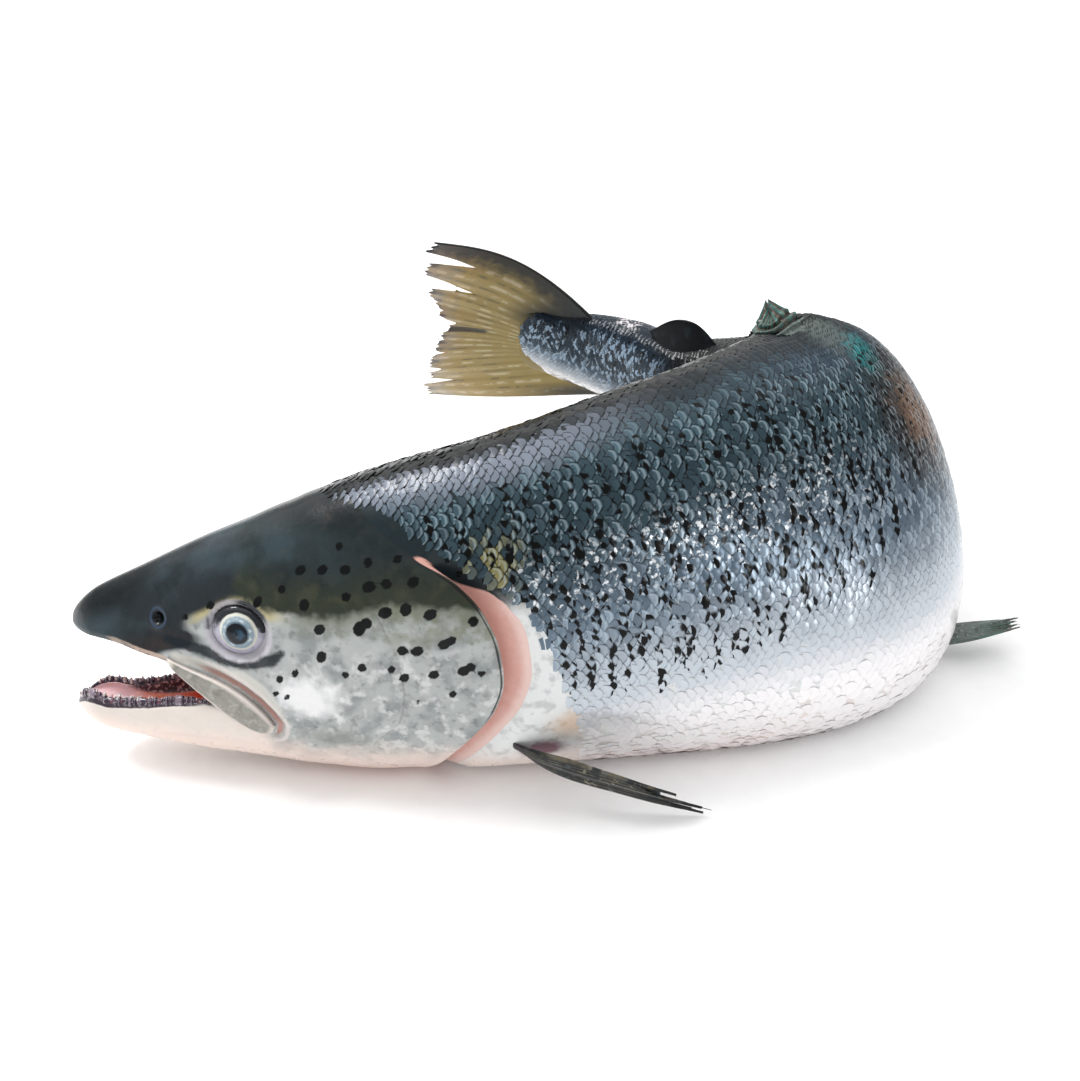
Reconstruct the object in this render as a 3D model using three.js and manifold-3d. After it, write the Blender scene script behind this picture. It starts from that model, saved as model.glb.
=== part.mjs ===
// Whole raw salmon, lying belly down with its body bent round to one side and its mouth open.
// Units are millimetres and +Z is up. Every piece is first drawn on a straight fish: "at" is the
// distance behind the snout, "side" is sideways towards the left flank, and "up" is the height over
// the belly line. One bend then lays all of the pieces on the table along the same curved spine.

import * as THREE from 'three';
import Module from 'manifold-3d';

// Spine: where the belly line starts, how it curves, how far the back leans over, how it lifts
const SNOUT_PLACE = { x: -195.71, y: -130.56, heading: 0.0686 };
const SPINE_FROM = -20;
const SPINE_TO = 760;
const CURVATURE_PER_METRE = [[0, 0], [60, -0.6], [130, 0.9], [170, 0], [215, 0], [250, 2.9], [287, 7.4],
  [320, 11.5], [360, 12.2], [395, 9.8], [433, 7.4], [506, 5.1], [579, 5.3], [650, 6.2], [742, 0]];
const LEAN_DEGREES = [[0, 27], [150, 13], [290, 31], [490, 24], [580, 32], [650, 26], [742, 40]];
const LIFT = [[0, 0], [500, 0], [550, 11], [600, 33], [650, 47], [742, 67]];
const BELLY_PRESS = 3;
const TABLE_SINK = 0.6;

// Sections of the closed fish: back, belly and half width at each station
const BACK = [[0, 68], [20, 77], [60, 94.3], [120, 117.5], [160, 128], [215, 143.3], [287, 160.6],
  [360, 163.6], [433, 146.3], [506, 120.3], [579, 86.3], [624, 65.8], [652, 56], [680, 55]];
const BELLY = [[0, 22], [20, 16], [60, 8], [120, 0], [160, 0], [506, 0], [579, 3], [624, 5.5], [652, 6],
  [680, 6]];
const HALF_WIDTH = [[0, 9], [20, 15.5], [60, 22.5], [120, 31], [160, 34.2], [215, 36.5], [287, 38],
  [360, 38], [433, 36], [506, 29], [579, 20.5], [624, 13.5], [652, 9], [680, 6]];
const WAIST = [[0, 0.35], [60, 0.42], [120, 0.5], [215, 0.54], [360, 0.54], [506, 0.52], [670, 0.5]];
const BACK_FULLNESS = [[0, 0.7], [60, 0.75], [160, 0.85], [360, 0.9], [670, 0.9]];
const BELLY_FULLNESS = [[0, 0.8], [60, 0.9], [120, 1], [160, 0.9], [250, 0.8], [670, 0.85]];
const BODY_END = 678;

// Mouth: lip lines, arch of the palate, floor between the lower jaws and throat
const MOUTH_CORNER = 66;
const UPPER_LIP = [[0, 57], [10, 56], [20, 54.5], [32, 51], [42, 48.5], [55, 41], [66, 34]];
const LOWER_LIP = [[0, 31], [10, 30.5], [30, 31], [46, 33], [58, 33.4], [66, 34]];
const PALATE_ARCH = [[0, 1], [12, 3.5], [25, 8], [45, 12], [66, 15]];
const FLOOR_SAG = [[0, 1], [12, 4.5], [25, 9], [45, 12], [66, 14]];
const LIP_WIDTH = 3.2;
const LIP_WIDTH_SHARE = 0.4;
const GUM_STEP = 0.6;
const ARCH_FULLNESS = 0.8;
const THROAT_END = 102;
const THROAT_HEIGHT = 40;
const JAW_TIP = { from: 0, full: 12, upperHeight: 61, lowerHeight: 28 };
const JAW_STATIONS = [0, 1, 3, 6, 10, 14, 19, 25, 33, 41, 50, 58, 66];
const THROAT_STATIONS = [73, 81, 89, 96];

// Gill cover: its rear edge by angle from the back, and the step down to the shoulder behind it
const GILL_EDGE = [[0, 108], [30, 114], [45, 122], [57, 133], [69, 147], [81, 155.5], [95, 160.5],
  [105, 161.5], [116, 158], [126, 151], [140, 142], [161, 133], [180, 128]];
const GILL_OPENNESS = [[0, 0], [52, 0], [70, 1], [150, 1], [180, 0.5]];
const GILL_STEP = [{ back: -1.5, deep: 0.1 }, { back: 0, deep: 0.7 }, { back: -0.2, deep: 2.2 },
  { back: -4, deep: 3.9 }, { back: -0.5, deep: 5.2 }, { back: 4.5, deep: 4 }, { back: 10, deep: 1.6 },
  { back: 15, deep: 0 }];

// Mesh density of the body
const UPPER_COLUMNS = 22;
const LOWER_COLUMNS = 14;
const HEAD_ROWS = 9;
const SHOULDER_ROWS = 4;
const SHOULDER_END = 205;
const TRUNK_STEP = 12.5;
const END_ROUNDING = 2;
const NORMAL_STEP = 0.02;

// Pieces set on the body: "thick" at the root, "edge" at the tip, "rows" and "columns" of the mesh
const SKIN_GAP = 0.35;
const STANDOFF = 0.4;
const FIN_ROOT = 3;
const MARGIN_THINNING = 0.6;
const EYE = { at: 70, side: 17.5, up: 62.5, long: 11, deep: 7, high: 10, segments: 14, rings: 9 };
const JAW_PLATE = {
  upper: [[42, 50.6], [52, 47.2], [61.5, 44.2], [68, 41], [74, 36.5], [78, 32], [80.3, 28]],
  lower: [[42, 49], [48, 43.5], [54, 38.5], [61, 32.8], [67.5, 28], [74, 25.2], [79.5, 26]],
  thick: 2.2, edge: 0.8, rows: 10, columns: 4,
};
const TONGUE = {
  from: 14, to: 84, halfWidth: 7.5, tipWidth: 0.45, tipRounding: 0.15, thick: 5, tipThickness: 0.4,
  edge: 0.3, rows: 9, columns: 6,
};
const TAIL_FIN = {
  rootAt: 672, rootSweep: 62, rootLow: 10, rootHigh: 52, heartAt: 650, heartUp: 35, spread: 41,
  middleLength: 75, cornerExtra: 40, cornerSharpness: 1.4, bulge: 5, wave: 3.5, waveTurns: 3,
  notch: 0.07, notchEvery: 3, thick: 6, edge: 1.8, rows: 6, columns: 14,
};
const DORSAL_FIN = {
  at: 347, halfLength: 18, height: 10, gather: 0.85, peak: 0.3, root: 6, thick: 27, edge: 1.6, rows: 6, columns: 12,
};
const ADIPOSE_FIN = {
  from: 530, to: 578, height: 11, sweep: 6, lean: 0.6, thick: 6, edge: 2.4, rows: 4, columns: 10,
};
const ANAL_FIN = {
  from: 522, to: 560, length: 34, drop: 13, rake: 0.25, side: 5, thick: 3.5, edge: 1.6, rows: 4, columns: 6,
};
const LEFT_PECTORAL = {
  fromSnout: [[165.5, -10.5, 23], [180.5, -18, 21], [197.5, -21.5, 17], [215.5, -23, 11], [235, -24, 5]],
  across: [0, -0.35, 0.94], halfWidth: 5, narrowing: 0.7, thick: 4, edge: 1.6, rows: 12, columns: 4,
};
const RIGHT_PECTORAL = {
  from: 168, length: 74, up: 40, drop: 14, halfWidth: 6, narrowing: 0.6, thick: 3.5, edge: 1.6,
  rows: 8, columns: 4,
};
const LEFT_PELVIC = {
  from: 362, to: 374, side: 26, up: 4, sweep: 10, reach: 23, drop: 10, narrowing: 0.4, thick: 4, edge: 1.8,
  rows: 5, columns: 5,
};
const RIGHT_PELVIC = {
  from: 366, length: 44, up: 34, drop: 4, halfWidth: 6, narrowing: 0.6, thick: 3.5, edge: 1.6,
  rows: 8, columns: 4,
};

const millimetresPerMetre = 1000;
const radians = Math.PI / 180;
const WELD_DISTANCE = 1e-3;

// A smooth curve through a list of [place, value] knots that never overshoots them
function through(knots) {
  const place = knots.map((knot) => knot[0]);
  const value = knots.map((knot) => knot[1]);
  const last = knots.length - 1;
  const slope = [];
  for (let i = 0; i < last; i += 1) {
    slope.push((value[i + 1] - value[i]) / (place[i + 1] - place[i]));
  }
  const tangent = [slope[0]];
  for (let i = 1; i < last; i += 1) {
    const before = slope[i - 1];
    const after = slope[i];
    tangent.push(before * after > 0 ? (2 * before * after) / (before + after) : 0);
  }
  tangent.push(slope[last - 1]);
  return (at) => {
    const x = Math.min(Math.max(at, place[0]), place[last]);
    let i = 0;
    while (i < last - 1 && x > place[i + 1]) {
      i += 1;
    }
    const width = place[i + 1] - place[i];
    const t = (x - place[i]) / width;
    const rest = 1 - t;
    const start = rest * rest * (1 + 2 * t) * value[i] + t * rest * rest * width * tangent[i];
    const end = t * t * (3 - 2 * t) * value[i + 1] - t * t * rest * width * tangent[i + 1];
    return start + end;
  };
}

const curvature = through(CURVATURE_PER_METRE);
const lean = through(LEAN_DEGREES);
const lift = through(LIFT);
const back = through(BACK);
const belly = through(BELLY);
const halfWidth = through(HALF_WIDTH);
const waist = through(WAIST);
const backFullness = through(BACK_FULLNESS);
const bellyFullness = through(BELLY_FULLNESS);
const upperLip = through(UPPER_LIP);
const lowerLip = through(LOWER_LIP);
const palateArch = through(PALATE_ARCH);
const floorSag = through(FLOOR_SAG);
const gillEdge = through(GILL_EDGE);
const gillOpenness = through(GILL_OPENNESS);

// The belly line on the table, one point a millimetre
const spine = [];
{
  let heading = SNOUT_PLACE.heading;
  let x = SNOUT_PLACE.x + SPINE_FROM * Math.cos(heading);
  let y = SNOUT_PLACE.y + SPINE_FROM * Math.sin(heading);
  for (let at = SPINE_FROM; at <= SPINE_TO; at += 1) {
    spine.push({ x, y, heading });
    const turn = curvature(at + 0.5) / millimetresPerMetre;
    const middle = heading + turn / 2;
    x += Math.cos(middle);
    y += Math.sin(middle);
    heading += turn;
  }
}

function spineAt(at) {
  const along = Math.min(Math.max(at, SPINE_FROM), SPINE_TO - 1) - SPINE_FROM;
  const i = Math.min(Math.floor(along), spine.length - 2);
  const t = along - i;
  const near = spine[i];
  const far = spine[i + 1];
  return {
    x: near.x + (far.x - near.x) * t,
    y: near.y + (far.y - near.y) * t,
    heading: near.heading + (far.heading - near.heading) * t,
  };
}

// Flesh pressed on the table lies flat at height 0, and rounds off just above it
function pressed(height) {
  const h = height - TABLE_SINK;
  if (h <= 0) {
    return 0;
  }
  return h < BELLY_PRESS ? (h * h) / (2 * BELLY_PRESS) : h - BELLY_PRESS / 2;
}

// From the straight fish to the fish as it lies
function lay(at, side, up) {
  const place = spineAt(at);
  const tilt = lean(at) * radians;
  const left = side * Math.cos(tilt) - up * Math.sin(tilt);
  const high = up * Math.cos(tilt) + side * Math.sin(tilt) + lift(at);
  return new THREE.Vector3(
    place.x + Math.sin(place.heading) * left,
    place.y - Math.cos(place.heading) * left,
    pressed(high),
  );
}

// Section of the closed fish at a station; the angle runs from the back (0) over the left flank
function section(at, angle) {
  const top = back(at);
  const low = belly(at);
  const middle = low + (top - low) * waist(at);
  const cosine = Math.cos(angle);
  const sine = Math.sin(angle);
  const fullness = cosine > 0 ? backFullness(at) : bellyFullness(at);
  const side = halfWidth(at) * Math.sign(sine) * Math.abs(sine) ** fullness;
  const up = middle + (cosine > 0 ? top - middle : middle - low) * cosine;
  return { side, up };
}

// The angle at which the left flank passes a height
function angleAtHeight(at, up) {
  const top = back(at);
  const low = belly(at);
  const middle = low + (top - low) * waist(at);
  const reach = up > middle ? top - middle : middle - low;
  return Math.acos(Math.min(Math.max((up - middle) / reach, -1), 1));
}

// A point of the section, moved outwards by an offset
function offsetSection(at, angle, offset) {
  const point = section(at, angle);
  const before = section(at, angle - NORMAL_STEP);
  const after = section(at, angle + NORMAL_STEP);
  const along = Math.hypot(after.side - before.side, after.up - before.up);
  return {
    side: point.side - ((after.up - before.up) / along) * offset,
    up: point.up + ((after.side - before.side) / along) * offset,
  };
}

function skin(at, angle, offset = 0) {
  const point = offsetSection(at, angle, offset);
  return lay(at, point.side, point.up);
}

function flank(at, up, hand, offset) {
  return skin(at, hand * angleAtHeight(at, up), offset);
}

// Triangles from a grid of points, row by row
function addGrid(soup, rows, closed = false) {
  for (let r = 0; r < rows.length - 1; r += 1) {
    const here = rows[r];
    const next = rows[r + 1];
    const count = closed ? here.length : here.length - 1;
    for (let c = 0; c < count; c += 1) {
      const d = (c + 1) % here.length;
      soup.push(here[c], here[d], next[d], here[c], next[d], next[c]);
    }
  }
}

function addFan(soup, loop, tip) {
  loop.forEach((point, i) => soup.push(point, loop[(i + 1) % loop.length], tip));
}

// One closed body out of loose triangles, with its faces pointing out
function weld(soup) {
  const places = [];
  const found = new Map();
  const corners = soup.map((point) => {
    const key = point.toArray().map((value) => Math.round(value / WELD_DISTANCE)).join(' ');
    if (!found.has(key)) {
      found.set(key, places.length);
      places.push(point);
    }
    return found.get(key);
  });
  const triangles = [];
  let volume = 0;
  for (let i = 0; i < corners.length; i += 3) {
    const [a, b, c] = corners.slice(i, i + 3);
    if (a !== b && b !== c && c !== a) {
      triangles.push(a, b, c);
      volume += places[a].dot(new THREE.Vector3().crossVectors(places[b], places[c]));
    }
  }
  const geometry = new THREE.BufferGeometry().setFromPoints(places);
  geometry.setIndex(volume > 0 ? triangles : triangles.reverse());
  return geometry;
}

const wasm = await Module();
wasm.setup();

function toSolid(geometry) {
  return new wasm.Manifold(new wasm.Mesh({
    numProp: 3,
    vertProperties: geometry.getAttribute('position').array,
    triVerts: Uint32Array.from(geometry.getIndex().array),
  }));
}

function toGeometry(solid) {
  const mesh = solid.getMesh();
  const geometry = new THREE.BufferGeometry();
  geometry.setAttribute('position', new THREE.BufferAttribute(mesh.vertProperties, 3));
  geometry.setIndex(new THREE.BufferAttribute(mesh.triVerts, 1));
  return geometry;
}

// The biggest piece that a cut leaves
function largest(solid) {
  const pieces = solid.decompose();
  return pieces.reduce((best, piece) => (piece.volume() > best.volume() ? piece : best));
}

// The same surface moved outwards along its normals
function grown(geometry, gap) {
  const copy = geometry.clone();
  copy.computeVertexNormals();
  const place = copy.getAttribute('position');
  const normal = copy.getAttribute('normal');
  for (let i = 0; i < place.count; i += 1) {
    place.setXYZ(i, place.getX(i) + normal.getX(i) * gap, place.getY(i) + normal.getY(i) * gap,
      place.getZ(i) + normal.getZ(i) * gap);
  }
  return copy;
}

// Both jaws close to a round tip in front of the "full" station
function tipScale(at) {
  if (at >= JAW_TIP.full) {
    return 1;
  }
  const t = (JAW_TIP.full - at) / (JAW_TIP.full - JAW_TIP.from);
  return Math.sqrt(Math.max(0, 1 - t * t));
}

function jawPoint(at, side, up, tipHeight) {
  const scale = tipScale(at);
  return lay(at, side * scale, tipHeight + (up - tipHeight) * scale);
}

// Outer skin of a jaw from lip to lip, over the back for the upper jaw and under it for the lower
function jawSkin(at, lip, columns, upper) {
  const edge = angleAtHeight(at, lip);
  const row = [];
  for (let i = 0; i <= columns; i += 1) {
    const t = i / columns;
    const angle = upper ? edge * (2 * t - 1) : edge + (2 * Math.PI - 2 * edge) * t;
    const point = section(at, angle);
    row.push(jawPoint(at, point.side, point.up, upper ? JAW_TIP.upperHeight : JAW_TIP.lowerHeight));
  }
  return row;
}

// Lining from lip to lip: a flat gum, then an arch of the given height; "place" sets each point
function liningRow(wall, lip, arch, columns, sign, place) {
  const gum = Math.min(LIP_WIDTH, wall * LIP_WIDTH_SHARE);
  const row = [place(sign * wall, lip)];
  for (let i = 1; i < columns; i += 1) {
    const turn = (Math.PI * (i - 1)) / (columns - 2);
    const rise = GUM_STEP + arch * Math.sin(turn) ** ARCH_FULLNESS;
    row.push(place(sign * (wall - gum) * Math.cos(turn), lip + sign * rise));
  }
  return row;
}

function jawLining(at, lip, arch, columns, upper) {
  const wall = section(at, angleAtHeight(at, lip)).side;
  const sign = upper ? 1 : -1;
  const height = upper ? JAW_TIP.upperHeight : JAW_TIP.lowerHeight;
  const place = (side, up) => jawPoint(at, side, up, height);
  return [...liningRow(wall, lip, arch, columns, sign, place), place(-sign * wall, lip)];
}

// The throat behind the corner of the mouth, as a loop that shrinks towards its end
function throatLoop(at) {
  const wall = section(MOUTH_CORNER, cornerAngle).side;
  const lip = upperLip(MOUTH_CORNER);
  const scale = Math.sqrt(1 - ((at - MOUTH_CORNER) / (THROAT_END - MOUTH_CORNER)) ** 2);
  const place = (side, up) => lay(at, side * scale, THROAT_HEIGHT + (up - THROAT_HEIGHT) * scale);
  return [
    ...liningRow(wall, lip, palateArch(MOUTH_CORNER), UPPER_COLUMNS, 1, place),
    ...liningRow(wall, lip, floorSag(MOUTH_CORNER), LOWER_COLUMNS, -1, place),
  ];
}

// Column angles of the full rings, which meet both lips at the corner of the mouth
const cornerAngle = angleAtHeight(MOUTH_CORNER, upperLip(MOUTH_CORNER));
const columnAngles = [];
for (let i = 0; i <= UPPER_COLUMNS; i += 1) {
  columnAngles.push(cornerAngle * ((2 * i) / UPPER_COLUMNS - 1));
}
for (let i = 1; i < LOWER_COLUMNS; i += 1) {
  columnAngles.push(cornerAngle + ((2 * Math.PI - 2 * cornerAngle) * i) / LOWER_COLUMNS);
}

function degreesFromBack(angle) {
  const turned = Math.abs(angle) / radians;
  return turned > 180 ? 360 - turned : turned;
}

function bodyRows() {
  const rows = [];
  const first = GILL_STEP[0].back;
  const last = GILL_STEP[GILL_STEP.length - 1].back;
  const edges = columnAngles.map((angle) => gillEdge(degreesFromBack(angle)));
  const open = columnAngles.map((angle) => gillOpenness(degreesFromBack(angle)));
  for (let r = 0; r < HEAD_ROWS; r += 1) {
    rows.push(columnAngles.map((angle, c) => {
      const at = MOUTH_CORNER + ((edges[c] + first - MOUTH_CORNER) * r) / HEAD_ROWS;
      return skin(at, angle);
    }));
  }
  GILL_STEP.forEach((step, k) => {
    const even = first + ((last - first) * k) / (GILL_STEP.length - 1);
    rows.push(columnAngles.map((angle, c) => {
      const at = edges[c] + even + (step.back - even) * open[c];
      return skin(at, angle, -step.deep * open[c]);
    }));
  });
  for (let r = 1; r <= SHOULDER_ROWS; r += 1) {
    rows.push(columnAngles.map((angle, c) => {
      const start = edges[c] + last;
      return skin(start + ((SHOULDER_END - start) * r) / SHOULDER_ROWS, angle);
    }));
  }
  const steps = Math.round((BODY_END - SHOULDER_END) / TRUNK_STEP);
  for (let r = 1; r <= steps; r += 1) {
    const at = SHOULDER_END + ((BODY_END - SHOULDER_END) * r) / steps;
    rows.push(columnAngles.map((angle) => skin(at, angle)));
  }
  return rows;
}

function bodySoup() {
  const soup = [];
  JAW_STATIONS.slice(1).forEach((far, i) => {
    const pair = [JAW_STATIONS[i], far];
    addGrid(soup, pair.map((at) => jawSkin(at, upperLip(at), UPPER_COLUMNS, true)));
    addGrid(soup, pair.map((at) => jawSkin(at, lowerLip(at), LOWER_COLUMNS, false)));
    addGrid(soup, pair.map((at) => jawLining(at, upperLip(at), palateArch(at), UPPER_COLUMNS, true)));
    addGrid(soup, pair.map((at) => jawLining(at, lowerLip(at), floorSag(at), LOWER_COLUMNS, false)));
  });
  const rows = bodyRows();
  addGrid(soup, rows, true);
  addFan(soup, rows.at(-1), lay(BODY_END + END_ROUNDING, 0, (back(BODY_END) + belly(BODY_END)) / 2));
  const throat = [MOUTH_CORNER, ...THROAT_STATIONS].map(throatLoop);
  addGrid(soup, throat, true);
  addFan(soup, throat.at(-1), lay(THROAT_END, 0, THROAT_HEIGHT));
  return soup;
}

// A thin closed blade round a middle surface: "place" gives its points and "half" half its thickness,
// for v from root (0) to tip (1) and u across it from -1 to 1
function blade({ rows, columns }, place, half) {
  const fronts = [];
  const backs = [];
  const nudge = 1e-3;
  for (let r = 0; r <= rows; r += 1) {
    const v = r / rows;
    const front = [];
    const rear = [];
    for (let c = 0; c <= columns; c += 1) {
      const u = (2 * c) / columns - 1;
      const across = place(u + nudge, v).sub(place(u - nudge, v));
      const along = place(u, v + nudge).sub(place(u, v - nudge));
      const normal = across.cross(along).normalize().multiplyScalar(half(u, v));
      const middle = place(u, v);
      front.push(middle.clone().add(normal));
      rear.push(middle.clone().sub(normal));
    }
    fronts.push(front);
    backs.push(rear);
  }
  const soup = [];
  addGrid(soup, fronts.map((front, r) => [...front, ...backs[r].slice().reverse()]), true);
  addGrid(soup, [fronts.at(-1), backs.at(-1)]);
  addGrid(soup, [backs[0], fronts[0]]);
  return weld(soup);
}

// Half thickness that thins from root to tip and towards both edges
function tapered({ thick, edge }) {
  return (u, v) => (edge + (thick - edge) * (1 - v) * (1 - MARGIN_THINNING * u * u)) / 2;
}

function tailFin() {
  const fin = TAIL_FIN;
  const place = (u, v) => {
    const turn = fin.spread * u * radians;
    const column = Math.round(((u + 1) * fin.columns) / 2);
    const torn = column % fin.notchEvery === 1 ? 1 - fin.notch : 1;
    const length = (fin.middleLength + fin.cornerExtra * Math.abs(u) ** fin.cornerSharpness) * torn;
    const rootUp = fin.rootLow + ((fin.rootHigh - fin.rootLow) * (u + 1)) / 2;
    const rootAt = fin.rootAt - fin.rootSweep * Math.abs(u) ** 3;
    const at = rootAt + (fin.heartAt + length * Math.cos(turn) - rootAt) * v;
    const bulge = fin.bulge * Math.sign(u) * Math.abs(u) ** 3 * Math.sin(Math.PI * v);
    const up = rootUp + (fin.heartUp + length * Math.sin(turn) - rootUp) * v + bulge;
    return lay(at, fin.wave * Math.sin(fin.waveTurns * u) * v * v, up);
  };
  return blade(fin, place, tapered(fin));
}

// A place between the front and the rear end of the root of a fin
function alongRoot(fin, u) {
  return fin.from + ((fin.to - fin.from) * (u + 1)) / 2;
}

// The dorsal fin is crumpled into a low heap with a peak. The sharp bend would squeeze it to nothing, so it
// is shaped on straight axes over its middle.
function dorsalFin() {
  const fin = DORSAL_FIN;
  const ridge = back(fin.at);
  const foot = lay(fin.at, 0, ridge);
  const upward = lay(fin.at, 0, ridge + 1).sub(foot);
  const sideways = lay(fin.at, 1, ridge).sub(foot);
  const lengthways = new THREE.Vector3().crossVectors(sideways, upward).normalize();
  const place = (u, v) => {
    const rise = (fin.height + fin.root) * v * (1 - fin.peak * u * u * v) - fin.root;
    const reach = u * fin.halfLength * (1 - fin.gather * v);
    return foot.clone().addScaledVector(lengthways, reach).addScaledVector(upward, rise);
  };
  const half = (u, v) => (fin.edge + fin.thick * (1 - v) * Math.sqrt(Math.max(0, 1 - u * u))) / 2;
  return blade(fin, place, half);
}

function adiposeFin() {
  const fin = ADIPOSE_FIN;
  const place = (u, v) => {
    const root = alongRoot(fin, u);
    const rise = (fin.height * Math.sqrt(Math.max(0, 1 - u * u)) + FIN_ROOT) * v;
    return lay(root + (fin.sweep * v * (1 + u)) / 2, fin.lean * rise, back(root) - FIN_ROOT + rise);
  };
  return blade(fin, place, tapered(fin));
}

function analFin() {
  const fin = ANAL_FIN;
  const place = (u, v) => {
    const root = alongRoot(fin, u);
    const reach = v * (1 - fin.rake * u);
    const up = belly(root) + FIN_ROOT - (fin.drop + FIN_ROOT) * reach;
    return lay(root + fin.length * reach, fin.side * v, up);
  };
  return blade(fin, place, tapered(fin));
}

// The left pectoral fin is folded to a narrow blade that slopes down to the table
function leftPectoral() {
  const fin = LEFT_PECTORAL;
  const snout = new THREE.Vector3(SNOUT_PLACE.x, SNOUT_PLACE.y, 0);
  const stops = fin.fromSnout.map((point) => new THREE.Vector3(...point).add(snout));
  const route = new THREE.CatmullRomCurve3(stops);
  const across = new THREE.Vector3(...fin.across);
  const place = (u, v) => {
    const t = Math.min(Math.max(v, 0), 1);
    const width = fin.halfWidth * (1 - fin.narrowing * t * t);
    const along = route.getTangent(t).multiplyScalar((v - t) * route.getLength());
    return route.getPoint(t).add(along).addScaledVector(across, u * width);
  };
  return blade(fin, place, tapered(fin));
}

// Fins of the right side are folded back along the flank
function foldedFin(fin) {
  const place = (u, v) => {
    const width = fin.halfWidth * (1 - fin.narrowing * v * v);
    const offset = SKIN_GAP + fin.thick / 2 + STANDOFF + v;
    return flank(fin.from + fin.length * v, fin.up - fin.drop * v + u * width, -1, offset);
  };
  return blade(fin, place, tapered(fin));
}

function leftPelvic() {
  const fin = LEFT_PELVIC;
  const middle = (fin.from + fin.to) / 2;
  const place = (u, v) => {
    const root = alongRoot(fin, u);
    const at = root + (middle - root) * fin.narrowing * v + fin.sweep * v;
    return lay(at, fin.side + fin.reach * v, fin.up - fin.drop * v);
  };
  return blade(fin, place, tapered(fin));
}

// The plate of the upper jaw, which covers the corner of the mouth
function jawPlate(hand) {
  const plate = JAW_PLATE;
  const [upper, lower] = [plate.upper, plate.lower].map((edge) => [0, 1].map(
    (axis) => through(edge.map((point, i) => [i / (edge.length - 1), point[axis]])),
  ));
  const half = (u) => (plate.edge + (plate.thick - plate.edge) * Math.sqrt(Math.max(0, 1 - u * u))) / 2;
  const place = (u, v) => {
    const [at, up] = [0, 1].map((axis) => lower[axis](v) + ((upper[axis](v) - lower[axis](v)) * (u + 1)) / 2);
    return flank(at, up, hand, SKIN_GAP + STANDOFF + half(u));
  };
  return blade(plate, place, half);
}

function tongue() {
  const { from, to, halfWidth: reach, tipWidth, tipRounding, thick, tipThickness, edge } = TONGUE;
  const half = (u, v) => {
    const round = Math.sqrt(Math.max(0, 1 - u * u));
    return edge + (thick / 2) * round * (tipThickness + (1 - tipThickness) * v);
  };
  const place = (u, v) => {
    const at = from + (to - from) * v;
    const width = reach * (tipWidth + (1 - tipWidth) * Math.sin(Math.PI * Math.min(0.5, tipRounding + v)));
    const lip = lowerLip(at);
    const wall = section(at, angleAtHeight(at, lip)).side - LIP_WIDTH;
    const turn = Math.acos(Math.min(0.999, (Math.abs(u) * width) / wall));
    const ground = lip - GUM_STEP - floorSag(at) * Math.sin(turn) ** ARCH_FULLNESS;
    return lay(at, u * width, ground + SKIN_GAP + STANDOFF + half(u, v));
  };
  return blade(TONGUE, place, half);
}

function eye(hand) {
  const ball = new THREE.SphereGeometry(1, EYE.segments, EYE.rings).toNonIndexed().getAttribute('position');
  const soup = [];
  for (let i = 0; i < ball.count; i += 1) {
    const point = new THREE.Vector3().fromBufferAttribute(ball, i);
    const side = hand * (EYE.side + EYE.deep * point.y);
    soup.push(lay(EYE.at + EYE.long * point.x, side, EYE.up + EYE.high * point.z));
  }
  return weld(soup);
}

const eyes = { eye_left: eye(1), eye_right: eye(-1) };
let bodySolid = toSolid(weld(bodySoup()));
Object.values(eyes).forEach((ball) => {
  bodySolid = bodySolid.subtract(toSolid(grown(ball, SKIN_GAP)));
});
const clearance = toSolid(grown(toGeometry(bodySolid), SKIN_GAP));
const setOnBody = (geometry) => toGeometry(largest(toSolid(geometry).subtract(clearance)));

const finishes = {
  skin: { color: 0x8c979c, roughness: 0.35 },
  eye: { color: 0xc9cfc4, roughness: 0.1 },
  mouth: { color: 0xc8604a, roughness: 0.4 },
  plate: { color: 0x8f8b80, roughness: 0.4 },
  darkFin: { color: 0x3c4146, roughness: 0.45 },
  tail: { color: 0x8f8563, roughness: 0.45 },
};

const pieces = [
  ['body', toGeometry(bodySolid), finishes.skin],
  ['eye_left', eyes.eye_left, finishes.eye],
  ['eye_right', eyes.eye_right, finishes.eye],
  ['tongue', setOnBody(tongue()), finishes.mouth],
  ['jaw_plate_left', setOnBody(jawPlate(1)), finishes.plate],
  ['jaw_plate_right', setOnBody(jawPlate(-1)), finishes.plate],
  ['tail_fin', setOnBody(tailFin()), finishes.tail],
  ['dorsal_fin', setOnBody(dorsalFin()), finishes.darkFin],
  ['adipose_fin', setOnBody(adiposeFin()), finishes.darkFin],
  ['anal_fin', setOnBody(analFin()), finishes.tail],
  ['pectoral_fin_left', setOnBody(leftPectoral()), finishes.darkFin],
  ['pectoral_fin_right', setOnBody(foldedFin(RIGHT_PECTORAL)), finishes.darkFin],
  ['pelvic_fin_left', setOnBody(leftPelvic()), finishes.darkFin],
  ['pelvic_fin_right', setOnBody(foldedFin(RIGHT_PELVIC)), finishes.darkFin],
];

const fish = new THREE.Group();
pieces.forEach(([name, geometry, finish]) => {
  const mesh = new THREE.Mesh(geometry, new THREE.MeshStandardMaterial({ ...finish, metalness: 0 }));
  mesh.name = name;
  fish.add(mesh);
});

export default fish;
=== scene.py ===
"""Whole raw salmon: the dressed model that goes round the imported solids.

Every piece is drawn on a straight fish, in millimetres. A point has a station behind the snout, a side
towards the left flank and a height over the belly line. One bend then lays all of the pieces on the
table along the same curved spine, as the solids are laid.
"""
import logging
import math
from abc import ABC, abstractmethod
from collections.abc import Iterator
from dataclasses import dataclass, field
from enum import Enum

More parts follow.
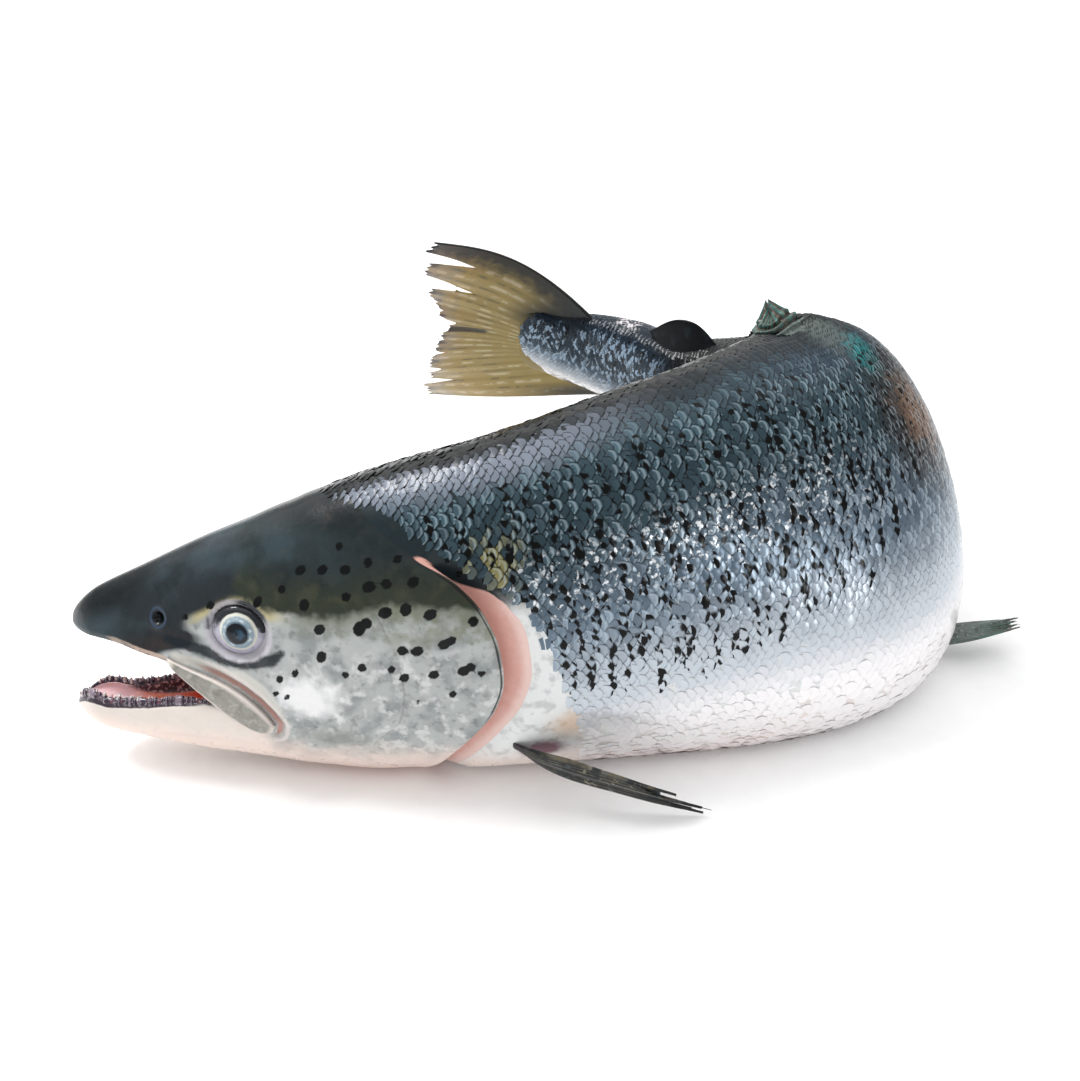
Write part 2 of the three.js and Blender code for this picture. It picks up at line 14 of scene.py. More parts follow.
import bmesh
import bpy
import numpy as np
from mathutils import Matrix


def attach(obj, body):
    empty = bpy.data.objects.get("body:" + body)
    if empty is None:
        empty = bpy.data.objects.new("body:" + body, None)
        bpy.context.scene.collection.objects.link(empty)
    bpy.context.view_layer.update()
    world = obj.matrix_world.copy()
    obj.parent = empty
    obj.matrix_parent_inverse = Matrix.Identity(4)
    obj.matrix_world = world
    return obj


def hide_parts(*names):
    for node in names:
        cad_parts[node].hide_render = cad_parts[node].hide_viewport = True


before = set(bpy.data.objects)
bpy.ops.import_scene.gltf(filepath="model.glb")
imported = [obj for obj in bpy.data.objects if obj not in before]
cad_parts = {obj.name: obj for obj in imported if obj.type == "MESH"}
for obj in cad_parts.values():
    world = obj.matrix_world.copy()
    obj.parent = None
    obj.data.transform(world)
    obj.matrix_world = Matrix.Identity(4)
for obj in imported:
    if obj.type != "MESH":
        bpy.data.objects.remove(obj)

Array = np.ndarray
Knots = tuple[tuple[float, ...], ...]
Values = dict[str, Array | float]
Mesh = bpy.types.Mesh
Piece = bpy.types.Object
Material = bpy.types.Material
Tree = bpy.types.NodeTree
Socket = bpy.types.NodeSocket

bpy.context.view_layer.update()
MM = 0.001
BODY = "root"
SEED = 20
log = logging.getLogger("salmon")


class Hand(Enum):
    """Which flank a piece is on."""

    LEFT = 1
    RIGHT = -1

    @property
    def word(self) -> str:
        """Name of the side, for the names of pieces."""
        return self.name.lower()


def smooth(value: Array, start: float, full: float) -> Array:
    """Smooth step from 0 at start to 1 at full, where full may be the lower of the two."""
    t = np.clip((np.asarray(value, float) - start) / (full - start), 0, 1)
    return t * t * (3 - 2 * t)


def hump(value: Array, middle: float, width: float) -> Array:
    """Bell of height 1 round a middle."""
    return np.exp(-(((np.asarray(value, float) - middle) / width) ** 2))


def patch(x: Array, y: Array, middle: tuple[float, float], size: tuple[float, float]) -> Array:
    """Soft oval patch, of strength 1 at its middle."""
    return hump(np.hypot((x - middle[0]) / size[0], (y - middle[1]) / size[1]), 0, 1.0)


def from_back(angle: Array) -> Array:
    """Angle from the back in radians, the same on either flank."""
    return np.abs((angle + np.pi) % (2 * np.pi) - np.pi)


def legs(at: Array, up: Array, knots: Knots) -> Iterator[tuple[int, Array, Array, Array]]:
    """Measures places against every leg of a line of knots.

    Args:
        at: Stations.
        up: Heights.
        knots: Station and height of each corner, and whatever else it has.

    Yields:
        The number of the leg, the share along it, the distance from it and the distance to its right.
    """
    for i, (start, end) in enumerate(zip(knots, knots[1:])):
        x, y = end[0] - start[0], end[1] - start[1]
        length = math.hypot(x, y)
        t = np.clip(((at - start[0]) * x + (up - start[1]) * y) / length ** 2, 0, 1)
        away = np.hypot(at - start[0] - t * x, up - start[1] - t * y)
        yield i, t, away, ((at - start[0]) * y - (up - start[1]) * x) / length


# Form of the fish


@dataclass(frozen=True)
class Curve:
    """A smooth curve through knots that never overshoots them."""

    knots: Knots

    def __call__(self, at: Array | float) -> Array:
        """Value of the curve.

        Args:
            at: Place or places, held between the first and the last knot.

        Returns:
            The value at each place.
        """
        place, value = np.array(self.knots, float).T
        slope = np.diff(value) / np.diff(place)
        product = slope[:-1] * slope[1:]
        total = np.where(product > 0, slope[:-1] + slope[1:], 1.0)
        inner = np.where(product > 0, 2 * product / total, 0.0)
        tangent = np.concatenate([slope[:1], inner, slope[-1:]])
        x = np.clip(at, place[0], place[-1])
        i = np.clip(np.searchsorted(place, x) - 1, 0, len(place) - 2)
        width = place[i + 1] - place[i]
        t = (x - place[i]) / width
        rest = 1 - t
        start = rest * rest * (1 + 2 * t) * value[i] + t * rest * rest * width * tangent[i]
        end = t * t * (3 - 2 * t) * value[i + 1] - t * t * rest * width * tangent[i + 1]
        return start + end


@dataclass(frozen=True)
class FishForm:
    """Straight fish and the bend that lays it on the table, in millimetres."""

    snout_x: float = -195.71
    snout_y: float = -130.56
    heading: float = 0.0686
    spine_from: float = -20.0
    spine_to: float = 760.0
    curvature: Curve = Curve((
        (0, 0), (60, -0.6), (130, 0.9), (170, 0), (215, 0), (250, 2.9), (287, 7.4), (320, 11.5), (360, 12.2),
        (395, 9.8), (433, 7.4), (506, 5.1), (579, 5.3), (650, 6.2), (742, 0)))
    lean: Curve = Curve(((0, 27), (150, 13), (290, 31), (490, 24), (580, 32), (650, 26), (742, 40)))
    lift: Curve = Curve(((0, 0), (500, 0), (550, 11), (600, 33), (650, 47), (742, 67)))
    back: Curve = Curve((
        (0, 68), (20, 77), (60, 94.3), (120, 117.5), (160, 128), (215, 143.3), (287, 160.6), (360, 163.6),
        (433, 146.3), (506, 120.3), (579, 86.3), (624, 65.8), (652, 56), (668, 55.5), (677, 52), (684, 44)))
    belly: Curve = Curve((
        (0, 22), (20, 16), (60, 8), (120, 0), (160, 0), (506, 0), (579, 3), (624, 5.5), (652, 6), (668, 7),
        (677, 11), (684, 20)))
    half_width: Curve = Curve((
        (0, 9), (20, 15.5), (60, 22.5), (120, 31), (160, 34.2), (215, 36.5), (287, 38), (360, 38), (433, 36),
        (506, 29), (579, 20.5), (624, 13.5), (652, 9), (668, 5.2), (676, 2.8), (684, 0.4)))
    waist: Curve = Curve((
        (0, 0.35), (60, 0.42), (120, 0.5), (215, 0.54), (360, 0.54), (506, 0.52), (670, 0.5)))
    back_fullness: Curve = Curve(((0, 0.7), (60, 0.75), (160, 0.85), (360, 0.9), (670, 0.9)))
    belly_fullness: Curve = Curve(((0, 0.8), (60, 0.9), (120, 1), (160, 0.9), (250, 0.8), (670, 0.85)))
    belly_press: float = 3.0
    table_sink: float = 0.6
    body_end: float = 684.0
    normal_step: float = 0.02
    spine: Array = field(init=False, repr=False)

    def __post_init__(self) -> None:
        """Walks along the spine in steps of a millimetre."""
        stations = np.arange(self.spine_from, self.spine_to + 0.5)
        turn = self.curvature(stations + 0.5) / 1000
        heading = self.heading + np.concatenate([[0], np.cumsum(turn)[:-1]])
        middle = heading + turn / 2
        x = self.snout_x + self.spine_from * np.cos(self.heading)
        y = self.snout_y + self.spine_from * np.sin(self.heading)
        xs = x + np.concatenate([[0], np.cumsum(np.cos(middle))[:-1]])
        ys = y + np.concatenate([[0], np.cumsum(np.sin(middle))[:-1]])
        object.__setattr__(self, "spine", np.stack([stations, xs, ys, heading]))

    def pressed(self, height: Array) -> Array:
        """Height of flesh that lies flat on the table and rounds off just above it.

        Args:
            height: Heights over the table.

        Returns:
            Heights that are nowhere below it.
        """
        h = height - self.table_sink
        low = np.maximum(h, 0) ** 2 / (2 * self.belly_press)
        return np.where(h < self.belly_press, low, h - self.belly_press / 2)

    def lay(self, at: Array, side: Array, up: Array) -> Array:
        """Takes points of the straight fish to the fish as it lies.

        Args:
            at: Stations.
            side: Distances towards the left flank.
            up: Heights over the belly line.

        Returns:
            Points in millimetres, with x, y and z in the last axis.
        """
        at, side, up = np.broadcast_arrays(at, side, up)
        stations, xs, ys, headings = self.spine
        heading = np.interp(at, stations, headings)
        tilt = np.radians(self.lean(at))
        left = side * np.cos(tilt) - up * np.sin(tilt)
        high = up * np.cos(tilt) + side * np.sin(tilt) + self.lift(at)
        x = np.interp(at, stations, xs) + np.sin(heading) * left
        y = np.interp(at, stations, ys) - np.cos(heading) * left
        return np.stack([x, y, self.pressed(high)], axis=-1)

    def middle(self, at: Array) -> Array:
        """Height at which the section is widest."""
        return self.belly(at) + (self.back(at) - self.belly(at)) * self.waist(at)

    def section(self, at: Array, angle: Array) -> tuple[Array, Array]:
        """Outline of the closed fish.

        Args:
            at: Stations.
            angle: Radians from the back over the left flank.

        Returns:
            The side and the height of each point.
        """
        top, low, middle = self.back(at), self.belly(at), self.middle(at)
        cosine, sine = np.cos(angle), np.sin(angle)
        fullness = np.where(cosine > 0, self.back_fullness(at), self.belly_fullness(at))
        side = self.half_width(at) * np.sign(sine) * np.abs(sine) ** fullness
        return side, middle + np.where(cosine > 0, top - middle, middle - low) * cosine

    def angle_at(self, at: Array, up: Array) -> Array:
        """Angle at which the left flank passes a height.

        Args:
            at: Stations.
            up: Heights.

        Returns:
            Radians from the back.
        """
        middle = self.middle(at)
        reach = np.where(up > middle, self.back(at) - middle, middle - self.belly(at))
        return np.arccos(np.clip((up - middle) / reach, -1, 1))

    def offset_section(self, at: Array, angle: Array, offset: Array | float) -> tuple[Array, Array]:
        """Outline moved outwards by an offset.

        Args:
            at: Stations.
            angle: Radians from the back over the left flank.
            offset: Millimetres outwards.

        Returns:
            The side and the height of each point.
        """
        side, up = self.section(at, angle)
        side_before, up_before = self.section(at, angle - self.normal_step)
        side_after, up_after = self.section(at, angle + self.normal_step)
        rise, run = up_after - up_before, side_after - side_before
        along = np.hypot(rise, run)
        return side - rise / along * offset, up + run / along * offset

    def skin(self, at: Array, angle: Array, offset: Array | float = 0.0) -> Array:
        """Points on the skin of the fish as it lies, moved outwards by an offset."""
        side, up = self.offset_section(at, angle, offset)
        return self.lay(at, side, up)

    def flank(self, at: Array, up: Array, hand: Hand, offset: Array | float) -> Array:
        """Points off one flank at given heights."""
        return self.skin(at, hand.value * self.angle_at(at, up), offset)


@dataclass(frozen=True)
class Girth:
    """Lengths round the section, measured over the skin from the back to the belly, in millimetres.

    A place in the table of arcs stays a little before its last row and column, by past_last.
    """

    form: FishForm
    station_step: float = 2.0
    angle_count: int = 181
    past_last: float = 1.001
    arcs: Array = field(init=False, repr=False)

    def __post_init__(self) -> None:
        """Measures every section once."""
        stations = np.arange(0, self.form.body_end + self.station_step, self.station_step)
        angles = np.linspace(0, np.pi, self.angle_count)
        side, up = self.form.section(stations[:, None], angles[None, :])
        steps = np.hypot(np.diff(side, axis=1), np.diff(up, axis=1))
        arcs = np.concatenate([np.zeros((len(stations), 1)), np.cumsum(steps, axis=1)], axis=1)
        object.__setattr__(self, "arcs", arcs)

    def length(self, at: Array, angle: Array) -> Array:
        """Distance over the skin from the middle of the back, on either flank.

        Args:
            at: Stations.
            angle: Radians from the back.

        Returns:
            Millimetres.
        """
        at, angle = np.broadcast_arrays(at, angle)
        turned = from_back(angle)
        row = np.clip(at / self.station_step, 0, len(self.arcs) - self.past_last)
        column = np.clip(turned / np.pi * (self.angle_count - 1), 0, self.angle_count - self.past_last)
        r, c = row.astype(int), column.astype(int)
        t, u = row - r, column - c
        near = self.arcs[r, c] * (1 - u) + self.arcs[r, c + 1] * u
        far = self.arcs[r + 1, c] * (1 - u) + self.arcs[r + 1, c + 1] * u
        return near * (1 - t) + far * t

    def half(self, at: Array) -> Array:
        """Distance over the skin from the back to the belly."""
        return np.interp(at, np.arange(len(self.arcs)) * self.station_step, self.arcs[:, -1])

    def angle(self, at: float, lengths: Array) -> Array:
        """Angles at given distances from the middle of the back, all at one station.

        Args:
            at: The station.
            lengths: Distances over the skin.

        Returns:
            Radians.
        """
        row = min(max(at / self.station_step, 0), len(self.arcs) - self.past_last)
        t = row - int(row)
        arc = self.arcs[int(row)] * (1 - t) + self.arcs[int(row) + 1] * t
        return np.interp(lengths, arc, np.linspace(0, np.pi, self.angle_count))


# Meshes


def carry(mesh: Mesh, values: dict[str, list[Array]]) -> None:
    """Gives the points of a mesh their values as attributes.

    Args:
        mesh: The mesh.
        values: Attribute names, each with its data in one or more parts.
    """
    for key, parts in values.items():
        layer = mesh.attributes.new(key, "FLOAT", "POINT")
        layer.data.foreach_set("value", np.concatenate(parts).astype(np.float32))


@dataclass
class Surface:
    """Gathers grids of points with the values that they carry, and makes one mesh of them."""

    points: list[Array] = field(default_factory=list)
    faces: list[list[int]] = field(default_factory=list)
    slots: list[int] = field(default_factory=list)
    values: dict[str, list[Array]] = field(default_factory=dict)
    count: int = 0

    def _take(self, points: Array, values: Values) -> int:
        """Adds points with their values and returns the index of the first.

        Args:
            points: Points in any arrangement, with x, y and z last.
            values: Attribute names, each with a value for every point or one for all.

        Returns:
            The index of the first point.
        """
        first = self.count
        self.points.append(points.reshape(-1, 3))
        size = points.size // 3
        for name in dict.fromkeys([*self.values, *values]):
            kept = self.values.setdefault(name, [np.zeros(first)] if first else [])
            given = values.get(name, 0.0)
            kept.append(np.broadcast_to(given, points.shape[:-1]).reshape(-1).astype(float))
        self.count += size
        return first

    def grid(self, points: Array, values: Values | None = None, closed: bool = False,
             slot: int = 0) -> None:
        """Adds a grid of points.

        Args:
            points: Millimetres, as rows by columns by 3.
            values: Attribute names, each with a value for every point or one for all.
            closed: Whether the last column joins the first.
            slot: Material slot of the faces.
        """
        first = self._take(points, values or {})
        rows, columns = points.shape[:2]
        index = first + np.arange(rows * columns).reshape(rows, columns)
        if closed:
            index = np.concatenate([index, index[:, :1]], axis=1)
        quads = np.stack([index[:-1, :-1], index[:-1, 1:], index[1:, 1:], index[1:, :-1]], axis=-1)
        quads = quads.reshape(-1, 4).tolist()
        self.faces += quads
        self.slots += [slot] * len(quads)

    def fan(self, line: Array, tip: Array, values: Values | None = None, slot: int = 0,
            loop: bool = True) -> None:
        """Closes a line of points with triangles to one tip.

        Args:
            line: Points of the edge.
            tip: The point that the triangles meet at.
            values: Attribute names, each with a value for every point and the tip, or one for all.
            slot: Material slot of the faces.
            loop: Whether the last point joins the first.
        """
        first = self._take(np.concatenate([line, tip.reshape(1, 3)]), values or {})
        size = len(line)
        count = size if loop else size - 1
        self.faces += [[first + i, first + (i + 1) % size, first + size] for i in range(count)]
        self.slots += [slot] * count

    def slab(self, front: Array, back: Array, values: Values | None = None) -> None:
        """Adds a thin closed shape between two grids of the same size.

        Args:
            front: Points of one face, as rows by columns by 3.
            back: Points of the other face.
            values: Attribute names with values for the points of either face.
        """
        shape = front.shape[:2]
        carried = {key: np.broadcast_to(value, shape) for key, value in (values or {}).items()}
        both = {key: np.concatenate([value, value[:, ::-1]], axis=1) for key, value in carried.items()}
        self.grid(np.concatenate([front, back[:, ::-1]], axis=1), both, closed=True)
        for row in (0, -1):
            ends = {key: np.stack([value[row], value[row]]) for key, value in carried.items()}
            self.grid(np.stack([front[row], back[row]]), ends)

    def mesh(self, name: str, weld: float = 1e-6, outwards: bool = True) -> Mesh:
        """Makes the mesh, in metres.

        Args:
            name: Name of the mesh.
            weld: Distance within which points become one.
            outwards: Whether the faces are turned to point outwards.

        Returns:
            The mesh, with its values as attributes.
        """
        mesh = bpy.data.meshes.new(name)
        mesh.from_pydata((np.concatenate(self.points) * MM).tolist(), [], self.faces)
        mesh.polygons.foreach_set("material_index", self.slots)
        carry(mesh, self.values)
        shape = bmesh.new()
        shape.from_mesh(mesh)
        bmesh.ops.remove_doubles(shape, verts=shape.verts, dist=weld)
        if outwards:
            bmesh.ops.recalc_face_normals(shape, faces=shape.faces)
        shape.to_mesh(mesh)
        shape.free()
        mesh.shade_smooth()
        return mesh


def upwards(mesh: Mesh) -> Mesh:
    """Turns the faces of an open mesh so that the first one looks up.

    Args:
        mesh: The mesh.

    Returns:
        The same mesh.
    """
    if mesh.polygons[0].normal.z < 0:
        mesh.flip_normals()
    return mesh


def shown(data: bpy.types.ID) -> Piece:
    """Puts a mesh, a light or a camera in the scene as an object of its name, at the origin.

    Args:
        data: What the object shows.

    Returns:
        The object.
    """
    thing = bpy.data.objects.new(data.name, data)
    bpy.context.scene.collection.objects.link(thing)
    return thing


def settle(mesh: Mesh, materials: list[Material], slot: str, *nodes: str) -> Piece:
    """Makes a finished piece of a mesh and ties it to the body.

    Args:
        mesh: The mesh, which has the name of the piece.
        materials: Its materials, in slot order.
        slot: Not used.
        nodes: CAD nodes that the piece stands for.

    Returns:
        The piece.
    """
    piece = shown(mesh)
    slots = [face.material_index for face in mesh.polygons] if len(materials) > 1 else []
    mesh.materials.clear()
    for material in materials:
        mesh.materials.append(material)
    if slots:
        mesh.polygons.foreach_set("material_index", slots)
    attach(piece, BODY)
    if nodes:
        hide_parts(*nodes)
    return piece


# Materials


def linear(colour: str) -> tuple[float, float, float, float]:
    """Turns an sRGB hex colour to linear.

    Args:
        colour: A number sign and six hex digits.

    Returns:
        Red, green, blue and an alpha of 1.
    """
    parts = [int(colour[i:i + 2], 16) / 255 for i in (1, 3, 5)]
    turned = [c / 12.92 if c <= 0.04045 else ((c + 0.055) / 1.055) ** 2.4 for c in parts]
    return (*turned, 1.0)


def add_node(tree: Tree, kind: str, settings: dict | None = None,
             inputs: dict | None = None) -> bpy.types.Node:
    """Adds a node to a tree.

    Args:
        tree: Tree of a material or of Geometry Nodes.
        kind: Blender's name of the node type.
        settings: Properties of the node.
        inputs: Sockets by name or number, each with a value or with the output that feeds it.

    Returns:
        The new node.
    """
    node = tree.nodes.new(kind)
    for name, value in (settings or {}).items():
        setattr(node, name, value)
    for name, value in (inputs or {}).items():
        if isinstance(value, Socket):
            tree.links.new(value, node.inputs[name])
        else:
            node.inputs[name].default_value = value
    return node


@dataclass(frozen=True)
class Mask:
    """Where a colour lies: from nothing at start to full cover at full, on the value of an attribute.

    An empty source takes the pattern alone, which runs from 0 to 1.
    """

    source: str
    start: float
    full: float
    grain: float = 0.0
    amount: float = 0.0
    detail: float = 3.0


@dataclass(frozen=True)
class Layer:
    """A colour laid over those before it, where all of its masks let it."""

    colour: str
    cover: float
    masks: tuple[Mask, ...]


def tint(colour: str, cover: float, *masks: tuple) -> Layer:
    """A layer whose masks are given as the fields of each."""
    return Layer(colour, cover, tuple(Mask(*mask) for mask in masks))


@dataclass(frozen=True)
class Relief:
    """Fine unevenness: size of the grain and its depth, in millimetres."""

    grain: float
    depth: float


@dataclass(frozen=True)
class Finish:
    """A surface finish: colours in layers, gloss and fine relief.

    Typical values for wet organic skin are an IOR of 1.4, and a film of water as a smooth coat.
    """

    name: str
    base: str
    layers: tuple[Layer, ...] = ()
    roughness: tuple[float, float] = (0.25, 0.4)
    roughness_grain: float = 4.0
    metallic: float = 0.0
    metallic_mask: Mask | None = None
    specular: float = 0.28
    coat: float = 0.2
    coat_roughness: float = 0.1
    subsurface: float = 0.0
    subsurface_depth: float = 4.0
    ior: float = 1.4
    cloud_grain: float = 9.0
    cloud_lighter: float = 1.06
    cloud_darker: float = 0.93
    reliefs: tuple[Relief, ...] = ()

    def _noise(self, tree: Tree, place: Socket, grain: float,
               detail: float) -> Socket:
        """Pattern from 0 to 1 with grains of a size in millimetres.

        Args:
            tree: Tree of the material.
            place: Object coordinates.
            grain: Size of the grains.
            detail: Octaves of the noise.

        Returns:
            The output socket.
        """
        settings = {"noise_dimensions": "3D"}
        inputs = {"Vector": place, "Scale": 1 / (grain * MM), "Detail": detail}
        return add_node(tree, "ShaderNodeTexNoise", settings, inputs).outputs[0]

    def _mixed(self, tree: Tree, share: Socket | float, under: Socket | tuple, over: tuple) -> Socket:
        """Two colours mixed, where 6 and 7 are the colour inputs of the node and 2 is its colour output."""
        mixed = {"Factor": share, 6: under, 7: over}
        return add_node(tree, "ShaderNodeMix", {"data_type": "RGBA"}, mixed).outputs[2]

    def _cover(self, tree: Tree, place: Socket,
               layer: Layer) -> Socket | float:
        """How much of a layer shows.

        Args:
            tree: Tree of the material.
            place: Object coordinates.
            layer: The layer.

        Returns:
            The output socket, or the cover itself if there is no mask.
        """
        total: Socket | float = layer.cover
        for mask in layer.masks:
            if mask.grain:
                pattern = self._noise(tree, place, mask.grain, mask.detail)
            if mask.source:
                value = add_node(tree, "ShaderNodeAttribute", {"attribute_name": mask.source}).outputs["Fac"]
                if mask.grain:
                    middle = {0: pattern, 1: 0.5}
                    centred = add_node(tree, "ShaderNodeMath", {"operation": "SUBTRACT"}, middle)
                    moved = {0: centred.outputs[0], 1: mask.amount, 2: value}
                    value = add_node(tree, "ShaderNodeMath", {"operation": "MULTIPLY_ADD"}, moved).outputs[0]
            else:
                value = pattern
            ranges = {"Value": value, "From Min": mask.start, "From Max": mask.full}
            ramp = add_node(tree, "ShaderNodeMapRange", {"interpolation_type": "SMOOTHSTEP"}, ranges)
            product = {0: ramp.outputs["Result"], 1: total}
            total = add_node(tree, "ShaderNodeMath", {"operation": "MULTIPLY"}, product).outputs[0]
        return total

    def material(self) -> Material:
        """Builds the material.

        Returns:
            A material of one Principled shader whose patterns follow attributes and Object coordinates.
        """
        material = bpy.data.materials.new(self.name)
        material.use_nodes = True
        tree = material.node_tree
        shader = tree.nodes["Principled BSDF"]
        place = add_node(tree, "ShaderNodeTexCoord").outputs["Object"]
        start = linear(self.base)
        lighter = tuple(min(1.0, c * self.cloud_lighter) for c in start[:3]) + (1.0,)
        darker = tuple(c * self.cloud_darker for c in start[:3]) + (1.0,)
        colour = self._mixed(tree, self._noise(tree, place, self.cloud_grain, 3.0), darker, lighter)
        for layer in self.layers:
            colour = self._mixed(tree, self._cover(tree, place, layer), colour, linear(layer.colour))
        tree.links.new(colour, shader.inputs["Base Color"])
        gloss = self._noise(tree, place, self.roughness_grain, 4.0)
        ranges = {"Value": gloss, "To Min": self.roughness[0], "To Max": self.roughness[1]}
        ramp = add_node(tree, "ShaderNodeMapRange", {}, ranges)
        tree.links.new(ramp.outputs["Result"], shader.inputs["Roughness"])
        normal = None
        for relief in self.reliefs:
            pattern = self._noise(tree, place, relief.grain, 3.0)
            inputs = {"Height": pattern, "Distance": relief.depth * MM, "Strength": 1.0}
            if normal is not None:
                inputs["Normal"] = normal
            normal = add_node(tree, "ShaderNodeBump", {}, inputs).outputs["Normal"]
        if normal is not None:
            tree.links.new(normal, shader.inputs["Normal"])
        if self.metallic_mask:
            part = self._cover(tree, place, Layer(self.base, self.metallic, (self.metallic_mask,)))
            tree.links.new(part, shader.inputs["Metallic"])
        plain = {
            "Metallic": self.metallic, "IOR": self.ior, "Specular IOR Level": self.specular,
            "Coat Weight": self.coat, "Coat Roughness": self.coat_roughness,
            "Subsurface Weight": self.subsurface, "Subsurface Scale": self.subsurface_depth * MM}
        for name, value in plain.items():
            shader.inputs[name].default_value = value
        return material


# Skin of the head: scaleless, wet and glossy, slate and olive above, silver below, round black spots
HEAD_SKIN = Finish(
    name="wet scaleless head skin", base="#aeb2b1",
    layers=(
        tint("#7b8183", 0.7, ("", 0.42, 0.66, 8, 0, 5)),
        tint("#dcdddc", 0.6, ("", 0.52, 0.66, 5, 0, 5), ("rise", -8, -20)),
        tint("#5e6462", 0.45, ("", 0.54, 0.7, 3, 0, 5)),
        tint("#7e8270", 0.75, ("", 0.42, 0.6, 6, 0, 4), ("rise", -22, -4), ("station", 112, 126)),
        tint("#efeff0", 0.9, ("white_cheek", 0.2, 0.9, 5, 0.9)),
        # pale cream and pink under the jaw and the throat
        tint("#e4dad2", 0.9, ("jaw_pale", 0.2, 0.8, 4, 0.4)),
        tint("#ebd7cd", 0.85, ("girth", 0.74, 0.86, 9, 0.12), ("station", 175, 150)),
        tint("#e9b4a6", 0.6, ("girth", 0.86, 0.97, 12, 0.15), ("station", 60, 110)),
        tint("#8a8c86", 0.7, ("grey_patch", 0, 1, 5, 0.5)),
        # olive and slate above
        tint("#b3a878", 0.8, ("rise", -3, 0, 4, 3), ("station", 48, 56), ("station", 92, 80)),
        tint("#6d7264", 0.75, ("rise", -9, 0, 4, 9), ("station", 84, 96)),
        tint("#2e342b", 1, ("rise", -0.5, 3.5, 4, 5)),
        tint("#4a4b38", 0.35, ("", 0.5, 0.72, 6, 0, 4), ("rise", 2, 6), ("rise", 22, 12)),
        tint("#222a2d", 0.9, ("rise", 6, 20, 10, 8)),
        tint("#252b2f", 1, ("snout", 3, -4, 4, 5)),
        tint("#322a29", 0.7, ("snout", 0, -9), ("girth", 0.34, 0.46, 5, 0.08)),
        tint("#c2aa9b", 0.85, ("lip_rim", 0.2, 0.8, 2, 0.4)),
        tint("#0e1518", 0.9, ("rise", 24, 38, 14, 10)),
        tint("#171e20", 0.5, ("", 0.48, 0.7, 5, 0, 5), ("rise", 4, 12)),
        # lighter slate band at mid-height of the head top: the skin's slate with a painted sheen
        tint("#45565d", 0.45, ("rise", 8, 16, 6, 4), ("rise", 34, 24), ("", 0.35, 0.6, 22),
             ("station", 118, 84)),
        # nape and shoulder behind the gill cover
        tint("#1d282c", 1, ("behind", 0.5, 1.5), ("girth", 0.42, 0.34, 6, 0.05)),
        tint("#dfe1e1", 1, ("behind", 6, 9, 4, 2), ("girth", 0.38, 0.46, 6, 0.05)),
        tint("#87929a", 0.9, ("behind", 25, 33, 5, 3), ("girth", 0.36, 0.42), ("girth", 0.72, 0.62)),
        tint("#b4b8b8", 0.7, ("behind", 7, 12), ("", 0.48, 0.68, 4, 0, 4), ("girth", 0.4, 0.5),
             ("station", 240, 200)),
        tint("#ead9d0", 0.85, ("behind", 7, 12), ("girth", 0.78, 0.88, 6, 0.05)),
        tint("#cfa67a", 0.6, ("tan_patch", 0, 1, 4, 0.4)),
        tint("#6d3a4e", 0.9, ("axil", 0.2, 0.8, 2, 0.3)),
        tint("#8b7c50", 1, ("tail_root", 0.1, 0.9, 4, 0.5)),
        tint("#13191c", 0.9, ("tail_root", 0.1, 0.9), ("girth", 0.3, 0.16, 5, 0.1), ("station", 684, 670)),
        # eye surroundings
        tint("#cfcdc6", 0.85, ("pale_strip", 0.2, 0.9, 3, 0.3)),
        tint("#b9b5bd", 0.8, ("orbit", 1.2, 1.05)),
        tint("#1a242b", 0.95, ("orbit_shade", 0.25, 0.75, 3, 0.35)),
        tint("#161f25", 0.93, ("under_eye", 0.15, 0.85, 2.5, 0.7)),
        # black in the nostril pit: painted shade of the hole
        tint("#0a0d12", 1, ("nostril", 2.7, 1.9)),
        tint("#46566e", 0.5, ("nostril", 3.7, 3), ("nostril", 2.2, 2.8)),
        # flesh that shows at the fold of the upper jaw and in the gill opening
        tint("#c0958b", 0.95, ("fold", 0.3, 0.9, 3, 0.3)),
        tint("#dcd3ce", 0.7, ("cheek_rim", 0.35, 0.85, 2, 0.3)),
        tint("#d3a196", 1, ("flesh", 0.25, 0.6, 5, 0.15)),
        tint("#ecd6cf", 0.7, ("flesh", 0.25, 0.6), ("behind", 4.5, 8.5, 3, 2)),
        tint("#b5584c", 0.75, ("flesh_deep", 0.3, 0.9, 4, 0.3)),
        # dark line where the edge of the gill cover turns under into the gill gap: painted shadow of the gap
        tint("#1b1718", 0.9, ("slit", 0.4, 0.9, 9, 0.9)),
        tint("#2c2430", 0.97, ("gum", 0.35, 0.75, 2, 0.4)),
        tint("#8f868f", 0.8, ("gum", 0.5, 0.9), ("", 0.56, 0.66, 1.5, 0, 4)),
        # darker grey along the groove by the cheek bone: painted shade in the crease
        tint("#6f6a66", 0.6, ("groove", 0.3, 0.9)),
        tint("#07090a", 1, ("spot", 0.35, -0.25, 1.5, 0.5)),
    ),
    roughness=(0.22, 0.36), specular=0.18, coat=0.1, subsurface=0.04,
    reliefs=(Relief(3.0, 0.12), Relief(0.8, 0.04)),
)

# Lining of the mouth: soft wet flesh, orange-red inside and purple-grey along the gums
MOUTH_FLESH = Finish(
    name="wet mouth flesh", base="#e0805f",
    layers=(
        tint("#dcc3cb", 0.85, ("depth", 0.26, 0.14, 6, 0.1)),
        tint("#d5381f", 0.8, ("depth", 0.3, 0.48, 6, 0.15)),
        tint("#f0c0b0", 0.5, ("", 0.52, 0.7, 2.4)),
        tint("#2f2634", 0.95, ("gum", 0.35, 0.7, 2.5, 0.35)),
        tint("#c9a9ab", 0.75, ("gum", 0.3, 0.6), ("", 0.52, 0.62, 1.3)),
        # dark red deep in the throat: painted shade
        tint("#7a1711", 0.8, ("depth", 0.66, 0.85)),
    ),
    roughness=(0.15, 0.3), coat=0.6, subsurface=0.1,
    reliefs=(Relief(1.6, 0.25),),
)

